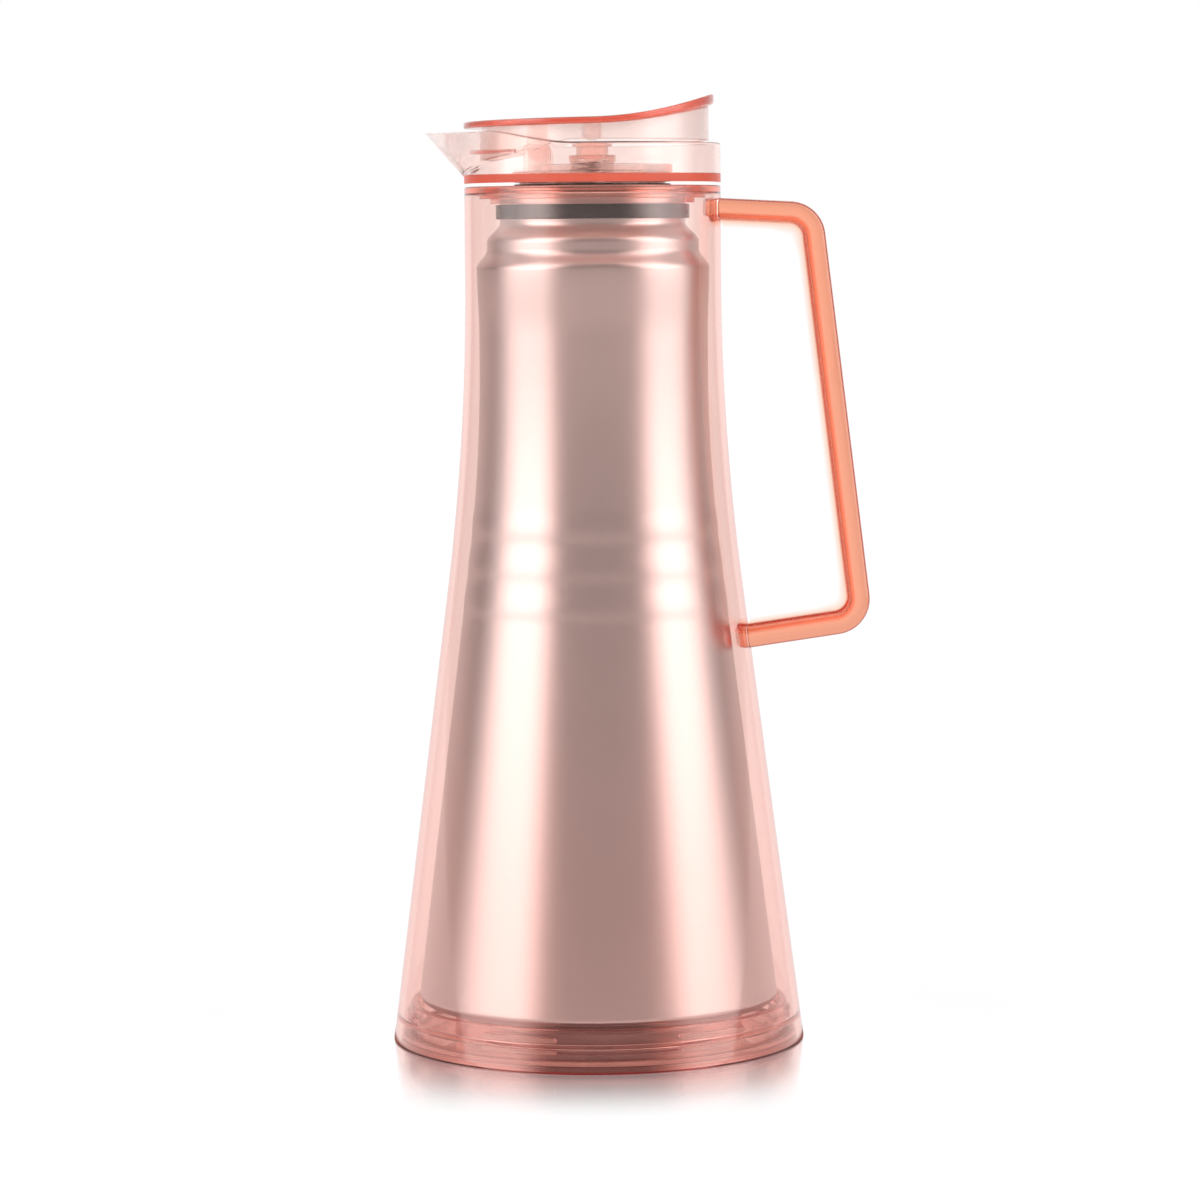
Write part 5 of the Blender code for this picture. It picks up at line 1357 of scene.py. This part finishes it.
class CARAFE_OT_stage(bpy.types.Operator):
    """Camera, pale floor with a polish round the base, and a white studio"""
    bl_idname = "carafe.stage"
    bl_label = "Stage"

    def execute(self, context):
        scene = context.scene
        stage = scene.carafe_stage
        scene.view_settings.view_transform = 'Standard'
        bounces = 40
        scene.cycles.max_bounces = bounces
        scene.cycles.transmission_bounces = bounces
        scene.cycles.glossy_bounces = bounces
        data = bpy.data.cameras.new("camera")
        data.lens = stage.lens
        data.sensor_width = 36.0
        data.clip_start = 0.05
        camera = bpy.data.objects.new("camera", data)
        camera.location = (stage.aside, -stage.distance, stage.height)
        turn = Euler((math.pi / 2 - stage.pitch, 0, 0)).to_matrix() @ Euler((0, 0, -stage.roll)).to_matrix()
        camera.rotation_euler = turn.to_euler()
        scene.collection.objects.link(camera)
        scene.camera = camera
        self.floor(stage)
        self.studio(scene)
        return {'FINISHED'}

    def floor(self, stage):
        """A level square far wider than the view.

        The camera sees it pale, with a polish that fades out round the base. Rays bent or mirrored by the
        carafe see it white, and under the base a painted shadow, dark and reddish."""
        u = np.linspace(-1, 1, 5) * 6.0
        x, y = np.meshgrid(u, u, indexing='ij')
        points = np.stack([x, y, 0 * x], -1).reshape(-1, 3)
        mesh = bpy.data.meshes.new("floor")
        mesh.from_pydata(points.tolist(), [], quads(5, 5, False, False).tolist())
        thing = place("floor", mesh)
        material, wire = new_material("pale_floor")
        spot = wire.object_place()
        far = wire.size(spot)
        across = wire.node("ShaderNodeMath", {"operation": 'ABSOLUTE'}, {0: wire.axis(spot, 0)})
        # Painted shadow under the base for bent and mirrored rays: darkest in the middle, reddish, white
        # beyond the base
        middle, band, side = (0.14, 0.045, 0.038, 1.0), (0.62, 0.35, 0.31, 1.0), (0.40, 0.16, 0.13, 1.0)
        tone = wire.blend(wire.smooth(across, 0.012, 0.028), middle, band)
        tone = wire.blend(wire.smooth(across, 0.036, 0.052), tone, side)
        tone = wire.blend(wire.smooth(far, 0.0645, 0.068), tone, WHITE)
        seen = wire.ray("Is Camera Ray")
        bounced = wire.math('MAXIMUM', wire.ray("Is Glossy Ray"), wire.ray("Is Transmission Ray"))
        paint = wire.node("ShaderNodeBsdfDiffuse", None, {"Color": (0.97, 0.97, 0.97, 1.0)})
        glow = wire.node("ShaderNodeEmission", None, {"Color": WHITE, "Strength": 1.0})
        under_base_shadow = wire.node("ShaderNodeEmission", None, {"Color": tone, "Strength": 1.0})
        pale = wire.mix(bounced, wire.mix(seen * 0.75, paint, glow), under_base_shadow)
        mirror = wire.node("ShaderNodeBsdfGlossy", None, {"Color": WHITE, "Roughness": 0.18})
        polish = (1 - wire.smooth(far, 0.062, 0.130)) * stage.polish
        shader = wire.mix(polish * seen, pale, mirror)
        wire.node("ShaderNodeOutputMaterial", None, {"Surface": shader})
        mesh.materials.append(material)

    def studio(self, scene):
        """White all round to the camera and to matt surfaces.

        Reflections and refractions see a dimmer room with a bright box on either side, a white back and a
        lighter ceiling. Turns are in degrees from the camera's side, to the right."""
        world = bpy.data.worlds.new("studio")
        world.use_nodes = True
        world.node_tree.nodes.clear()
        wire = Wire(world.node_tree)
        way = wire.node("ShaderNodeTexCoord", output=0)
        z = wire.axis(way, 2)
        turn = wire.math('ARCTAN2', wire.axis(way, 0), 0.0 - wire.axis(way, 1)) * (180 / math.pi)
        left = wire.smooth(turn, -102.0, -78.0) * (1 - wire.smooth(turn, -51.0, -29.0))
        right = wire.smooth(turn, 36.0, 62.0) * (1 - wire.smooth(turn, 84.0, 108.0))
        back = wire.smooth(turn, 120.0, 158.0) + (1 - wire.smooth(turn, -158.0, -120.0))
        dim = 0.43 + wire.smooth(z, 0.0, 0.22) * 0.07
        above = wire.smooth(z, 0.80, 0.93)
        level = dim + (left + right) * 2.6 * (1 - above) + back * (1.06 - dim) + above * 0.5
        plain = wire.math('MINIMUM', wire.ray("Is Camera Ray") + wire.ray("Is Diffuse Ray"), 1.0)
        strength = plain + (1 - plain) * level
        shade = wire.node("ShaderNodeBackground", None, {"Color": WHITE, "Strength": strength})
        wire.node("ShaderNodeOutputWorld", None, {"Surface": shade})
        scene.world = world


class CARAFE_PT_panel(bpy.types.Panel):
    """Lists the pieces, their sizes and finishes"""
    bl_idname = "CARAFE_PT_panel"
    bl_label = "Thermal carafe"
    bl_space_type = 'VIEW_3D'
    bl_region_type = 'UI'
    bl_category = "Carafe"

    def draw(self, context):
        for operator in OPERATORS:
            self.layout.operator(operator.bl_idname)
        for name in GROUPS:
            group = getattr(context.scene, name)
            box = self.layout.box()
            box.label(text=group.bl_rna.description or name)
            for key in group.__annotations__:
                box.prop(group, key)


OPERATORS = (
    CARAFE_OT_jacket, CARAFE_OT_base, CARAFE_OT_liner, CARAFE_OT_neck, CARAFE_OT_handle, CARAFE_OT_collar,
    CARAFE_OT_housing, CARAFE_OT_stopper, CARAFE_OT_valve, CARAFE_OT_lever, CARAFE_OT_stage,
)
GROUPS = {
    "carafe_body": CarafeBody,
    "carafe_handle": CarafeHandle,
    "carafe_lid": CarafeLid,
    "carafe_finish": CarafeFinish,
    "carafe_stage": CarafeStage,
}


def register():
    for kind in (*GROUPS.values(), *OPERATORS, CARAFE_PT_panel):
        bpy.utils.register_class(kind)
    for name, kind in GROUPS.items():
        setattr(bpy.types.Scene, name, PointerProperty(type=kind))


def unregister():
    for name in GROUPS:
        delattr(bpy.types.Scene, name)
    for kind in (CARAFE_PT_panel, *reversed(OPERATORS), *GROUPS.values()):
        bpy.utils.unregister_class(kind)


def main():
    register()
    for operator in OPERATORS:
        family, verb = operator.bl_idname.split(".")
        getattr(getattr(bpy.ops, family), verb)()


if __name__ == "__main__":
    main()
